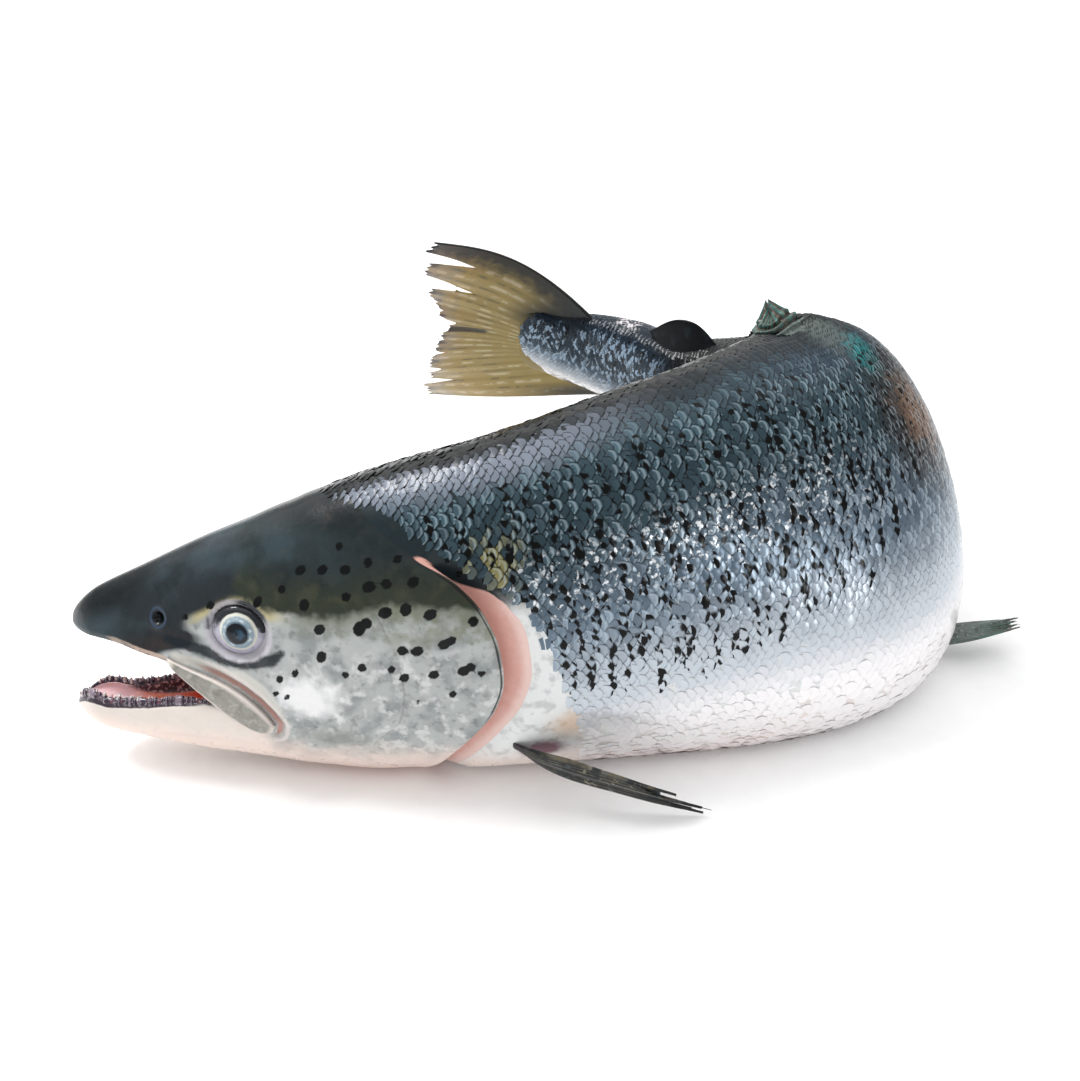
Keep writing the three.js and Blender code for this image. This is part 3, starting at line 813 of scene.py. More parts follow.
# Tongue: whitish at the tip, salmon orange behind, wet
TONGUE_FLESH = Finish(
    name="wet tongue flesh", base="#e59a80",
    layers=(
        tint("#e2d2d8", 0.9, ("reach", 0.28, 0.08, 3, 0.15)),
        tint("#e8663c", 0.9, ("reach", 0.26, 0.42, 4, 0.15)),
        tint("#c42a18", 0.9, ("reach", 0.42, 0.6)),
    ),
    roughness=(0.12, 0.25), coat=0.6, subsurface=0.1,
    reliefs=(Relief(1.2, 0.2),),
)

# Teeth: small, ivory, a little translucent
TOOTH = Finish(
    name="tooth ivory", base="#d9d2cf",
    layers=(tint("#8d7f86", 0.6, ("", 0.4, 0.7, 1.2)),),
    roughness=(0.15, 0.25), coat=0.5, subsurface=0.1, ior=1.54,
)

# Gum: wet purple-black flesh with paler ridges
GUM = Finish(
    name="wet gum", base="#2d2333",
    layers=(
        tint("#6d3f4b", 0.8, ("ridge", 0.2, 0, 2, 0.3)),
        tint("#9b8a97", 0.6, ("ridge", 0.75, 1, 1.2, 0.4)),
        tint("#c9bcc4", 0.4, ("", 0.56, 0.66, 1)),
    ),
    roughness=(0.15, 0.3), coat=0.5, subsurface=0.05,
    reliefs=(Relief(1.0, 0.15),),
)

# Plate of the upper jaw: thin wet skin over bone, grey-olive with a paler rim
JAW_PLATE_SKIN = Finish(
    name="wet skin over jaw bone", base="#93918a",
    layers=(
        tint("#6f6d63", 0.6, ("", 0.45, 0.7, 4, 0, 5)),
        tint("#b9b6ae", 0.5, ("", 0.52, 0.7, 2.5)),
        tint("#d8cfc8", 0.9, ("rim", 0.62, 0.9, 3, 0.15)),
        tint("#4a4d50", 0.5, ("rim", 0.93, 1)),
    ),
    roughness=(0.2, 0.35), coat=0.25, subsurface=0.06,
    reliefs=(Relief(2.0, 0.12),),
)

# Eye: a dark pupil and a silvery iris behind a wet clear cornea, set in lilac-white skin, with a painted
# shadow of the lid arching over the top and a painted glint in the pupil
EYE = Finish(
    name="wet fish eye", base="#b3afbd",
    layers=(
        tint("#888d9e", 0.6, ("", 0.45, 0.7, 3)),
        tint("#dad8dc", 0.5, ("ring", 10.5, 11.4)),
        # painted shadow of the lid, arching over the top of the eye
        tint("#0f161b", 0.97, ("arch", 0.2, 0.5, 2, 0.3)),
        tint("#cbccc0", 1, ("ring", 7, 6.5, 2, 0.4)),
        tint("#7f929f", 0.95, ("ring", 6.2, 5.5, 1.5, 0.9)),
        tint("#c8d4d6", 0.7, ("ring", 5.6, 5), ("", 0.46, 0.66, 1.6)),
        tint("#3f5362", 0.8, ("ring", 4.6, 4, 1.5, 0.5)),
        tint("#0b1219", 1, ("ring", 4, 3.6, 1.5, 0.5)),
        tint("#35566c", 0.75, ("glint", 0.3, 0.9, 1.2, 0.4)),
    ),
    roughness=(0.12, 0.2), coat=0.3, coat_roughness=0.06, ior=1.38,
)

# Scales: thin overlapping bony plates backed with silvery guanine, steel blue above and white below
SCALE_LAYERS = (
    # flank: silver blue
    tint("#8b9aa9", 0.7, ("chance", 0.35, 0.9)),
    tint("#3d4a57", 0.4, ("chance", 0.3, 0)),
    # upper flank: steel and teal
    tint("#30434b", 0.92, ("girth", 0.52, 0.3, 14, 0.1)),
    tint("#45616c", 0.6, ("girth", 0.46, 0.22), ("chance", 0.5, 0.95)),
    tint("#0e171c", 0.4, ("girth", 0.5, 0.2), ("chance", 0.3, 0)),
    tint("#1e3042", 0.6, ("girth", 0.24, 0.15, 16, 0.06), ("station", 200, 300)),
    # back: blue-black
    tint("#10181c", 0.92, ("girth", 0.17, 0.09, 18, 0.05)),
    tint("#040607", 1, ("girth", 0.1, 0.05, 10, 0.02)),
    tint("#05080a", 0.95, ("girth", 0.17, 0.1, 8, 0.06), ("station", 515, 540)),
    # shoulder: lilac-grey band below the dark back, the scales' own silver with a painted sheen that stands
    # for the reflection of the overhead softbox
    tint("#9299a8", 0.6, ("girth", 0.07, 0.095, 10, 0.01), ("girth", 0.19, 0.12), ("station", 225, 165)),
    # wrist of the tail: dark, with bright scattered scales, their silver tone with painted glints
    tint("#1d2b39", 0.8, ("station", 540, 590), ("girth", 0.56, 0.4, 12, 0.1)),
    tint("#8ea5bc", 0.8, ("station", 540, 590), ("chance", 0.5, 0.9), ("girth", 0.72, 0.6),
         ("girth", 0.06, 0.12)),
    # lower flank and belly: white
    tint("#c2c9d1", 0.95, ("girth", 0.5, 0.7, 14, 0.1)),
    tint("#f1eeef", 0.97, ("girth", 0.68, 0.8)),
    tint("#f0dcd7", 0.5, ("girth", 0.84, 0.93, 20, 0.1), ("station", 300, 230)),
    # painted glints: white speckles along the middle of the flank that stand for silvery scales catching the
    # light
    tint("#f2f5f8", 0.85, ("", 0.56, 0.64, 2.2, 0, 4), ("girth", 0.31, 0.39, 9, 0.04),
         ("girth", 0.52, 0.43), ("station", 148, 170), ("station", 330, 270)),
    # local tints
    tint("#948a4e", 0.75, ("olive_tint", 0.2, 0.9), ("chance", 0.2, 0.7)),
    tint("#14787a", 0.85, ("teal_tint", 0.25, 0.9, 6, 0.5)),
    tint("#35312f", 0.7, ("brown_tint", 0.05, 0.35, 8, 0.3)),
    tint("#8d6a50", 0.7, ("brown_tint", 0.4, 1, 8, 0.9)),
    tint("#5f6965", 0.7, ("grey_tint", 0.3, 1, 8, 0.5)),
    # painted highlight: a pale streak near the back behind the adipose fin, standing for a glossy reflection
    tint("#d9d2d6", 0.9, ("white_tint", 0.3, 0.8, 5, 0.5)),
)

# The same with their rims drawn in: a painted highlight across the rear of each scale, and dark rim lines
# that are partly dark joints and partly painted shadow of each scale's edge, because a rim is too fine to
# show by its shadow alone
SCALE = Finish(
    name="wet silvery scales", base="#5f6f7e",
    layers=SCALE_LAYERS + (
        # painted highlight on the rear part of each scale
        tint("#b6c6cf", 0.4, ("rim", 0.25, 0.5), ("rim", 0.72, 0.55), ("girth", 0.12, 0.24),
             ("girth", 0.75, 0.6), ("chance", 0.3, 0.8)),
        # dark rim lines: dark joints with painted shadow of the scale's edge
        tint("#0a1013", 0.92, ("rim", 0.7, 0.95), ("girth", 0.62, 0.34)),
        tint("#4c5a66", 0.8, ("rim", 0.7, 0.97), ("girth", 0.36, 0.5), ("girth", 0.78, 0.6)),
        tint("#c3c7cd", 0.45, ("rim", 0.75, 1), ("girth", 0.62, 0.72), ("girth", 0.9, 0.78)),
        tint("#040506", 1, ("spot", 0.35, -0.15, 1.2, 0.4)),
    ),
    roughness=(0.17, 0.3), metallic=0.3,
    metallic_mask=Mask("girth", 0.1, 0.3), specular=0.2, coat=0.12, coat_roughness=0.12,
    reliefs=(Relief(0.9, 0.03),),
)

# Tail web: thin translucent skin between rays, ochre with dark edges
TAIL_WEB = Finish(
    name="wet tail fin web", base="#9c8a57",
    layers=(
        tint("#8f7b46", 0.6, ("streak", 0.55, 0.85)),
        tint("#c9bfa0", 0.6, ("streak", 0.3, 0.1), ("", 0.45, 0.6, 8)),
        tint("#5b5a4a", 0.6, ("streak", 0.8, 0.97), ("reach", 0.25, 0.5), ("", 0.45, 0.6, 7)),
        tint("#8b8d8c", 0.6, ("reach", 0.72, 1, 7, 0.3)),
        tint("#3b4044", 0.85, ("reach", 0.86, 1, 6, 0.25), ("streak", 0.35, 0.6)),
        tint("#12181b", 0.95, ("across", 0.8, 0.96, 6, 0.12)),
        tint("#1a2023", 0.95, ("across", 0.3, 0.7, 6, 0.15), ("reach", 0.42, 0.16)),
        tint("#2a2f31", 0.9, ("across", -0.86, -0.97), ("reach", 0.6, 0.2)),
        # painted shade along a fold line of the tail web
        tint("#2c3234", 0.85, ("fold_line", 0.3, 0.8, 4, 0.3)),
    ),
    subsurface=0.1,
    reliefs=(Relief(1.2, 0.08),),
)

# Fin rays: jointed bony rods under wet skin
TAIL_RAY = Finish(
    name="wet tail fin rays", base="#8c7c50",
    layers=(
        tint("#b9a878", 0.5, ("", 0.45, 0.65, 2)),
        tint("#4d4c3f", 0.5, ("", 0.52, 0.66, 6)),
        tint("#33383b", 0.85, ("reach", 0.74, 1, 8, 0.3)),
        tint("#12181b", 0.95, ("across", 0.8, 0.95, 6, 0.12)),
        tint("#1a2023", 0.95, ("across", 0.3, 0.7, 6, 0.15), ("reach", 0.42, 0.16)),
        tint("#2a2f31", 0.9, ("across", -0.86, -0.97), ("reach", 0.6, 0.2)),
    ),
)

# Dark fins: near-black skin over rays, with brown and teal streaks
DARK_FIN = Finish(
    name="wet dark fin skin", base="#26292a",
    layers=(
        tint("#6d6552", 0.75, ("streak", 0.6, 0.9), ("", 0.42, 0.6, 6)),
        tint("#0e1011", 0.7, ("streak", 0.35, 0.1)),
        tint("#0f1214", 0.8, ("across", -0.55, -0.9)),
        tint("#4f5d60", 0.4, ("", 0.55, 0.68, 3)),
        tint("#2a1f2c", 0.7, ("reach", 0.16, 0.02)),
        tint("#8d8878", 0.7, ("", 0.56, 0.66, 2.2, 0, 5), ("reach", 0.3, 0.45), ("reach", 0.75, 0.6)),
    ),
    roughness=(0.22, 0.38),
    reliefs=(Relief(1.0, 0.08),),
)

# Folded fins: dark skin over rays, teal and brown where it is thin
TEAL_FIN = Finish(
    name="wet folded fin skin", base="#3f4d4b",
    layers=(
        tint("#59635f", 0.8, ("reach", 0.5, 0.35, 6, 0.2)),
        tint("#35695f", 0.7, ("streak", 0.5, 0.8), ("reach", 0.25, 0.4)),
        tint("#5d4634", 0.8, ("streak", 0.3, 0.1), ("reach", 0.3, 0.5)),
        # dark brown in the troughs of the folds: painted shade
        tint("#3f2f25", 0.8, ("fold_line", 0.55, 0.9, 5, 0.3)),
        tint("#1d2a2c", 0.6, ("", 0.52, 0.66, 2.5)),
        tint("#93a39b", 0.5, ("", 0.58, 0.7, 1.6)),
    ),
    reliefs=(Relief(1.0, 0.1),),
)

# Pale fins: grey and cream translucent skin, darker towards the edge
PALE_FIN = Finish(
    name="wet pale fin skin", base="#a7a79a",
    layers=(
        tint("#5f6d6a", 0.75, ("streak", 0.5, 0.8)),
        tint("#3f4b4c", 0.7, ("reach", 0.6, 1, 4, 0.4)),
        tint("#d8d6cd", 0.6, ("streak", 0.3, 0.1), ("reach", 0.7, 0.4)),
    ),
    reliefs=(Relief(1.0, 0.1),),
)

# Fleshy fin: thick near-black skin over fat, dull and smooth
FLESHY_FIN = Finish(
    name="wet fleshy fin skin", base="#0b0f11",
    layers=(
        tint("#1b2327", 0.6, ("", 0.5, 0.68, 6)),
        tint("#0a0d10", 0.8, ("reach", 0.35, 0.05, 5, 0.2)),
    ),
    specular=0.12, coat=0.05,
    reliefs=(Relief(4.0, 0.2),),
)

# Matt white studio floor
FLOOR = Finish(name="matt white floor", base="#fdfdfd", roughness=(0.7, 0.8), coat=0.0, ior=1.2)


# Geometry Nodes


class NodeModel:
    """Base of a Geometry Nodes tree that is run on a carrier mesh and kept as a plain mesh."""

    def __init__(self, name: str, sockets: tuple[tuple[str, str], ...]) -> None:
        """Makes the tree with its named inputs.

        Args:
            name: Name of the tree.
            sockets: Name and type of each input.
        """
        self.tree = bpy.data.node_groups.new(name, "GeometryNodeTree")
        face = self.tree.interface
        face.new_socket("Geometry", in_out="INPUT", socket_type="NodeSocketGeometry")
        self.sockets = {key: face.new_socket(key, in_out="INPUT", socket_type=kind) for key, kind in sockets}
        face.new_socket("Geometry", in_out="OUTPUT", socket_type="NodeSocketGeometry")
        self.start = self.tree.nodes.new("NodeGroupInput")
        self.end = self.tree.nodes.new("NodeGroupOutput")

    def node(self, kind: str, settings: dict | None = None, inputs: dict | None = None) -> bpy.types.Node:
        """Adds a node to the tree."""
        return add_node(self.tree, kind, settings, inputs)

    def close(self, geometry: Socket) -> None:
        """Ends the tree in Realize Instances and Set Material.

        Args:
            geometry: Output that holds the finished shape.
        """
        real = self.node("GeometryNodeRealizeInstances", {}, {"Geometry": geometry})
        inputs = {"Geometry": real.outputs[0], "Material": self.start.outputs["Finish"]}
        done = self.node("GeometryNodeSetMaterial", {}, inputs)
        self.tree.links.new(done.outputs[0], self.end.inputs[0])

    def run(self, carrier: Mesh, name: str, values: dict[str, object]) -> Mesh:
        """Runs the tree on a carrier mesh.

        Args:
            carrier: Mesh whose points or edges the tree works on.
            name: Name of the result.
            values: Named inputs of the tree.

        Returns:
            The result as a plain mesh.
        """
        thing = shown(carrier)
        modifier = thing.modifiers.new("build", "NODES")
        modifier.node_group = self.tree
        for key, value in values.items():
            modifier[self.sockets[key].identifier] = value
        graph = bpy.context.evaluated_depsgraph_get()
        mesh = bpy.data.meshes.new_from_object(thing.evaluated_get(graph), preserve_all_data_layers=True,
                                               depsgraph=graph)
        mesh.name = name
        bpy.data.objects.remove(thing)
        bpy.data.meshes.remove(carrier)
        return mesh


class CopiesModel(NodeModel):
    """Copies one small shape to every point, turned and sized by the point's own attributes."""

    def __init__(self) -> None:
        """Builds the tree."""
        super().__init__("small shapes on the fish", (
            ("Shape", "NodeSocketObject"), ("Unevenness", "NodeSocketFloat"), ("Seed", "NodeSocketInt"),
            ("Finish", "NodeSocketMaterial")))
        shape = self.node("GeometryNodeObjectInfo", {}, {"Object": self.start.outputs["Shape"]})
        facing = self.node("GeometryNodeInputNamedAttribute", {"data_type": "QUATERNION"}, {"Name": "facing"})
        size = self.node("GeometryNodeInputNamedAttribute", {"data_type": "FLOAT_VECTOR"}, {"Name": "size"})
        lowest = self.node("ShaderNodeMath", {"operation": "MULTIPLY"},
                           {0: self.start.outputs["Unevenness"], 1: -1.0})
        chance = self.node("FunctionNodeRandomValue", {"data_type": "FLOAT_VECTOR"}, {
            0: lowest.outputs[0], 1: self.start.outputs["Unevenness"], "Seed": self.start.outputs["Seed"]})
        turn = self.node("FunctionNodeEulerToRotation", {}, {"Euler": chance.outputs[0]})
        turned = self.node("FunctionNodeRotateRotation", {"rotation_space": "LOCAL"}, {
            "Rotation": facing.outputs[0], "Rotate By": turn.outputs[0]})
        copies = self.node("GeometryNodeInstanceOnPoints", {}, {
            "Points": self.start.outputs["Geometry"], "Instance": shape.outputs["Geometry"],
            "Rotation": turned.outputs[0], "Scale": size.outputs[0]})
        self.close(copies.outputs[0])


class RaysModel(NodeModel):
    """Sweeps a round section along every line of the carrier, as thick as the line's points say."""

    def __init__(self) -> None:
        """Builds the tree."""
        super().__init__("rays along the fins", (
            ("Sides", "NodeSocketInt"), ("Thickness", "NodeSocketFloat"), ("Finish", "NodeSocketMaterial")))
        lines = self.node("GeometryNodeMeshToCurve", {}, {"Mesh": self.start.outputs["Geometry"]})
        profile = self.node("GeometryNodeCurvePrimitiveCircle", {}, {
            "Resolution": self.start.outputs["Sides"], "Radius": self.start.outputs["Thickness"]})
        thick = self.node("GeometryNodeInputNamedAttribute", {"data_type": "FLOAT"}, {"Name": "thick"})
        tubes = self.node("GeometryNodeCurveToMesh", {}, {
            "Curve": lines.outputs[0], "Profile Curve": profile.outputs[0], "Scale": thick.outputs[0],
            "Fill Caps": True})
        self.close(tubes.outputs[0])


def quaternions(x: Array, z: Array) -> Array:
    """Turns that take the axes of a shape to given directions.

    Args:
        x: Where the shape's x axis points, one row each.
        z: Roughly where its z axis points.

    Returns:
        Quaternions as rows of w, x, y and z.
    """
    x = x / np.linalg.norm(x, axis=-1, keepdims=True)
    y = np.cross(z, x)
    y /= np.linalg.norm(y, axis=-1, keepdims=True)
    z = np.cross(x, y)
    a, b, c = x[..., 0], y[..., 1], z[..., 2]
    w = np.sqrt(np.maximum(0, 1 + a + b + c)) / 2
    i = np.copysign(np.sqrt(np.maximum(0, 1 + a - b - c)) / 2, y[..., 2] - z[..., 1])
    j = np.copysign(np.sqrt(np.maximum(0, 1 - a + b - c)) / 2, z[..., 0] - x[..., 2])
    k = np.copysign(np.sqrt(np.maximum(0, 1 - a - b + c)) / 2, x[..., 1] - y[..., 0])
    return np.stack([w, i, j, k], axis=-1)


def point_cloud(points: Array, values: dict[str, tuple[str, Array]]) -> Mesh:
    """Mesh of loose points that carry attributes.

    Args:
        points: Places in millimetres.
        values: Attribute names, each with Blender's type and the data.

    Returns:
        The mesh, in metres.
    """
    mesh = bpy.data.meshes.new("points")
    mesh.from_pydata((points * MM).tolist(), [], [])
    for name, (kind, data) in values.items():
        layer = mesh.attributes.new(name, kind, "POINT")
        key = "vector" if kind == "FLOAT_VECTOR" else "value"
        layer.data.foreach_set(key, data.astype(np.float32).reshape(-1))
    return mesh


# Sub-assemblies


@dataclass
class SubAssembly(ABC):
    """A group of pieces that are built and dressed together."""

    form: FishForm
    girth: Girth

    @abstractmethod
    def build(self) -> list[Piece]:
        """Makes the pieces and returns them."""


@dataclass
class Body(SubAssembly):
    """Skin of the head and trunk as one closed surface, with the mouth lining inside."""

    corner: float = 66.0
    upper_lip: Curve = Curve(((0, 57), (10, 56), (20, 54.5), (32, 51), (42, 48.5), (55, 41), (66, 34)))
    lower_lip: Curve = Curve((
        (0, 32), (5, 33.6), (10, 32.8), (17, 30.6), (30, 31), (46, 33), (58, 33.4), (66, 34)))
    palate_arch: Curve = Curve(((0, 1), (12, 3.5), (25, 8), (45, 12), (66, 15)))
    floor_sag: Curve = Curve(((0, 1), (12, 4.5), (25, 9), (45, 12), (66, 14)))
    lip_width: float = 3.2
    lip_roll: float = 0.9
    lip_reach: float = 2.4
    socket_depth: float = 3.4
    lid_rise: float = 0.7
    brow_rise: float = 0.5
    nostril_depth: float = 2.2
    nostril_rim: float = 0.5
    cheek_rise: float = 0.45
    cheek_groove: float = 0.5
    cover_rise: float = 0.7
    seam_depth: float = 0.35
    fold_depth: float = 1.5
    fold_rim: float = 0.8
    jaw_groove: float = 0.45
    ripple_height: float = 0.16
    stroke_edge: tuple[float, float] = (1.9, -1.3)
    weld: float = 2e-5
    throat_rows: int = 14
    gum_share: float = 0.4
    gum_step: float = 0.6
    arch_fullness: float = 0.8
    dark_rim: Curve = Curve(((0, 3.2), (9, 2.4), (17, 1.4), (30, 1.0), (66, 0.6)))
    tip_full: float = 12.0
    upper_tip: float = 61.0
    lower_tip: float = 28.0
    throat_end: float = 102.0
    throat_height: float = 40.0
    gill_edge: Curve = Curve((
        (0, 108), (30, 114), (45, 122), (57, 133), (69, 147), (81, 155.5), (95, 160.5), (105, 161.5),
        (116, 158), (126, 151), (140, 142), (161, 133), (180, 128)))
    gill_open: Curve = Curve(((0, 0), (52, 0), (70, 1), (150, 1), (180, 0.5)))
    step_back: Curve = Curve(((0, -1.5), (1, 0), (2, -0.2), (3, -4), (4, -0.5), (5, 4.5), (6, 10), (7, 15)))
    step_deep: Curve = Curve(((0, 0.1), (1, 0.7), (2, 2.2), (3, 3.9), (4, 5.2), (5, 4), (6, 1.6), (7, 0)))
    upper_columns: int = 144
    lower_columns: int = 96
    jaw_rows: int = 66
    cheek_rows: int = 78
    step_rows: int = 24
    shoulder_rows: int = 16
    shoulder_end: float = 205.0
    plain_rise: float = 60.0
    no_spot: float = 9.0
    trunk_step: float = 4.5
    eye: tuple[float, float, float, float] = (70.2, 62.3, 11.2, 10.2)
    nostril: tuple[float, float, float] = (39.2, 64.4, 2.2)
    olive_edge: Curve = Curve((
        (0, 30), (22, 36), (33, 46), (39.5, 53.6), (43.5, 57.2), (47.5, 60.8), (51, 64.4), (56.5, 67.5),
        (63.5, 70.7), (70.5, 72.1), (77.5, 71), (81, 69.5), (89.5, 69.4), (97.5, 70), (105.5, 70.5),
        (113, 73), (119.5, 75.5), (125, 77), (150, 76), (162, 74)))
    snout_edge: Curve = Curve((
        (35, -12), (44, 18), (48, 30), (50, 36), (53, 44), (55, 51), (57, 55), (59, 55), (61, 51), (63, 50),
        (66, 52), (70, 60), (76, 70)))
    under_eye: Knots = (
        (42.5, 57, 1.2), (50.5, 55.4, 1.7), (57.5, 54.3, 1.9), (62.5, 51.8, 1.2), (69, 50.4, 0.7),
        (75.5, 51.2, 1), (81.5, 53.8, 2), (85.5, 57, 0.9))
    pale_strip: Knots = (
        (45, 50.6, 1.6), (53.5, 49.4, 1.8), (62, 47.4, 1.4), (70.5, 46.4, 1.8), (77, 42.2, 1.8),
        (82, 34.5, 1.5))
    scale_end: Curve = Curve((
        (0, 662), (20, 666), (45, 672), (75, 677), (100, 676), (130, 664), (160, 648), (180, 640)))
    plate_edge: Knots = (
        (42, 50.6), (52, 47.2), (61.5, 44.2), (68, 41), (74, 36.5), (78, 32), (80.3, 28), (79.6, 25.5))
    cheek_bone: Curve = Curve((
        (18, 112), (23, 115.5), (35, 125), (47, 126.5), (59, 125), (73, 120), (82, 116)))
    spots: tuple[tuple[float, float, float], ...] = (
        (50, 61, 1.3), (60, 58, 1.8), (78, 61, 2), (87, 58, 1.6), (94, 52, 2), (102, 54, 2), (108, 46, 1.5),
        (110, 56, 2), (118, 55, 1.8), (118, 64, 2.4), (124, 64, 2), (133, 65, 2.3), (128, 56, 1.8),
        (110, 66, 1.8), (95, 66, 2.2), (100, 76, 2.2), (114, 78, 2.6), (116.5, 76.5, 2.2), (123, 74, 2.5),
        (130, 74, 2.4), (138, 77, 2.4), (152, 82, 2), (128, 88, 2), (133, 89, 2.2), (142, 88, 2.2),
        (144.5, 87, 1.9), (100, 86, 2.2), (90, 91, 1.6), (84, 93, 1.6), (114, 92, 1.8), (108, 94, 1.5),
        (124, 94, 1.6), (128, 98, 2), (138, 98, 2), (148, 98, 2.2), (150.5, 97, 1.9), (154, 100, 1.5),
        (144, 106, 1.6), (132, 108, 1.1), (82, 100, 1.3), (86, 102, 1.3), (148, 66, 1.5), (158, 73, 2))

    def tip_scale(self, at: Array) -> Array:
        """How far both jaws have closed to a round tip."""
        t = np.clip((self.tip_full - at) / self.tip_full, 0, 1)
        return np.sqrt(1 - t * t)

    def rounded(self, at: Array, side: Array, up: Array, upper: bool) -> Array:
        """Points of a jaw as it lies, closed to its round tip.

        Args:
            at: Stations.
            side: Distances towards the left flank.
            up: Heights.
            upper: Whether it is the upper jaw.

        Returns:
            Points in millimetres.
        """
        scale = self.tip_scale(at)
        tip = self.upper_tip if upper else self.lower_tip
        return self.form.lay(at, side * scale, tip + (up - tip) * scale)

    def relief(self, at: Array, angle: Array) -> Array:
        """How far the skin stands out from the plain form.

        Args:
            at: Stations.
            angle: Radians from the back, on either flank.

        Returns:
            Offsets in millimetres.
        """
        up = self.form.section(at, angle)[1]
        head = smooth(at, 185, 165)
        eye_at, eye_up, long, high = self.eye
        ring = np.hypot((at - eye_at) / long, (up - eye_up) / high)
        out = self.lid_rise * hump(ring, 1.16, 0.12) - self.socket_depth * smooth(ring, 1.02, 0.86)
        out += self.brow_rise * hump(ring, 1.6, 0.35) * smooth(up, 60, 70)
        hole = np.hypot(at - self.nostril[0], up - self.nostril[1])
        out -= self.nostril_depth * smooth(hole, self.nostril[2] + 0.4, 0.8)
        out += self.nostril_rim * hump(hole, self.nostril[2] + 1.3, 0.9)
        bone = at - self.cheek_bone(up)
        near = smooth(up, 14, 24) * smooth(up, 84, 74)
        swell = self.cheek_rise * smooth(bone, 1.0, -1.5) * smooth(bone, -26, -8)
        out += near * (swell - self.cheek_groove * hump(bone, 0.8, 0.8))
        cover = at - self.gill_edge(np.degrees(np.abs(angle)))
        side = smooth(up, 12, 24) * smooth(up, 96, 86)
        out += side * self.cover_rise * smooth(cover, -26, -9) * smooth(cover, -0.5, -4)
        seam = up - (34 + (at - 126) * 0.12)
        out -= self.seam_depth * hump(seam, 0, 0.9) * smooth(at, 124, 130) * smooth(cover, -2, -6)
        fold, rim = self.fold(at, up)
        out += self.fold_rim * rim - self.fold_depth * fold
        jaw = up - (22 - at * 0.06)
        out -= self.jaw_groove * hump(jaw, 0, 1.0) * smooth(at, 24, 40) * smooth(at, 112, 96)
        ripple = np.sin(at * 0.23 + 2.1 * np.sin(up * 0.11)) * np.sin(up * 0.19 + 1.7 * np.sin(at * 0.07))
        return (out + self.ripple_height * ripple) * head

    def fold(self, at: Array, up: Array) -> tuple[Array, Array]:
        """Pink fold behind the plate of the upper jaw, and the cheek's rim beyond it.

        Args:
            at: Stations.
            up: Heights.

        Returns:
            How strong the fold and the rim are, from 0 to 1.
        """
        best = np.full(np.shape(at), np.inf)
        outside = np.zeros(np.shape(at))
        for _, _, away, turned in legs(at, up, self.plate_edge):
            outside = np.where(away < best, -np.sign(turned), outside)
            best = np.minimum(away, best)
        away = np.where(outside > 0, best, -best)
        strength = smooth(at, 44, 62)
        return hump(away, 1.6, 1.5) * strength, hump(away, 4.4, 1.2) * strength

    def stroke(self, at: Array, up: Array, knots: Knots) -> Array:
        """A soft painted stroke.

        Args:
            at: Stations.
            up: Heights.
            knots: Station, height and half width of the stroke at its corners.

        Returns:
            How strong the stroke is, from 0 to 1.
        """
        strength = np.zeros(np.shape(at))
        for i, t, away, _ in legs(at, up, knots):
            wide = knots[i][2] + t * (knots[i + 1][2] - knots[i][2])
            strength = np.maximum(strength, smooth(away - wide, *self.stroke_edge))
        return strength

    def values(self, at: Array, angle: Array, behind: Array | float = -9.0) -> dict[str, Array]:
        """Attributes of the skin at given places.

        Args:
            at: Stations.
            angle: Radians from the back, on either flank.
            behind: Millimetres behind the edge of the gill cover, and negative in front of it.

        Returns:
            The values that the finishes read, by name.
        """
        at, angle = np.broadcast_arrays(np.asarray(at, float), angle)
        turned = from_back(angle)
        degrees = np.degrees(turned)
        up = self.form.section(at, angle)[1]
        behind = np.broadcast_to(behind, at.shape)
        eye_at, eye_up, long, high = self.eye
        ring = np.hypot((at - eye_at) / long, (up - eye_up) / high)
        fold, rim = self.fold(at, up)
        width = 3.0 + 6.0 * smooth(degrees, 62, 90)
        flesh = smooth(behind, -0.5, 1.0) * smooth(behind, width + 1.2, width - 0.8) * smooth(degrees, 54, 60)
        length = self.girth.length(at, turned)
        spot = np.full(at.shape, self.no_spot)
        chance = np.random.default_rng(SEED)
        for station, spot_degrees, radius in self.spots:
            middle = float(self.girth.length(np.array(station), np.radians(spot_degrees)))
            shift, turn = chance.normal(0, 4, 2), chance.uniform(0, np.pi)
            right = angle < 0
            along = at - station - np.where(right, shift[0], 0)
            across = length - middle - np.where(right, shift[1], 0)
            long_way = along * math.cos(turn) + across * math.sin(turn)
            wide_way = across * math.cos(turn) - along * math.sin(turn)
            spot = np.minimum(spot, np.hypot(long_way, wide_way * 1.18) - radius)
        bone = at - self.cheek_bone(up)
        arch = np.degrees(np.arctan2(up - eye_up, at - eye_at))
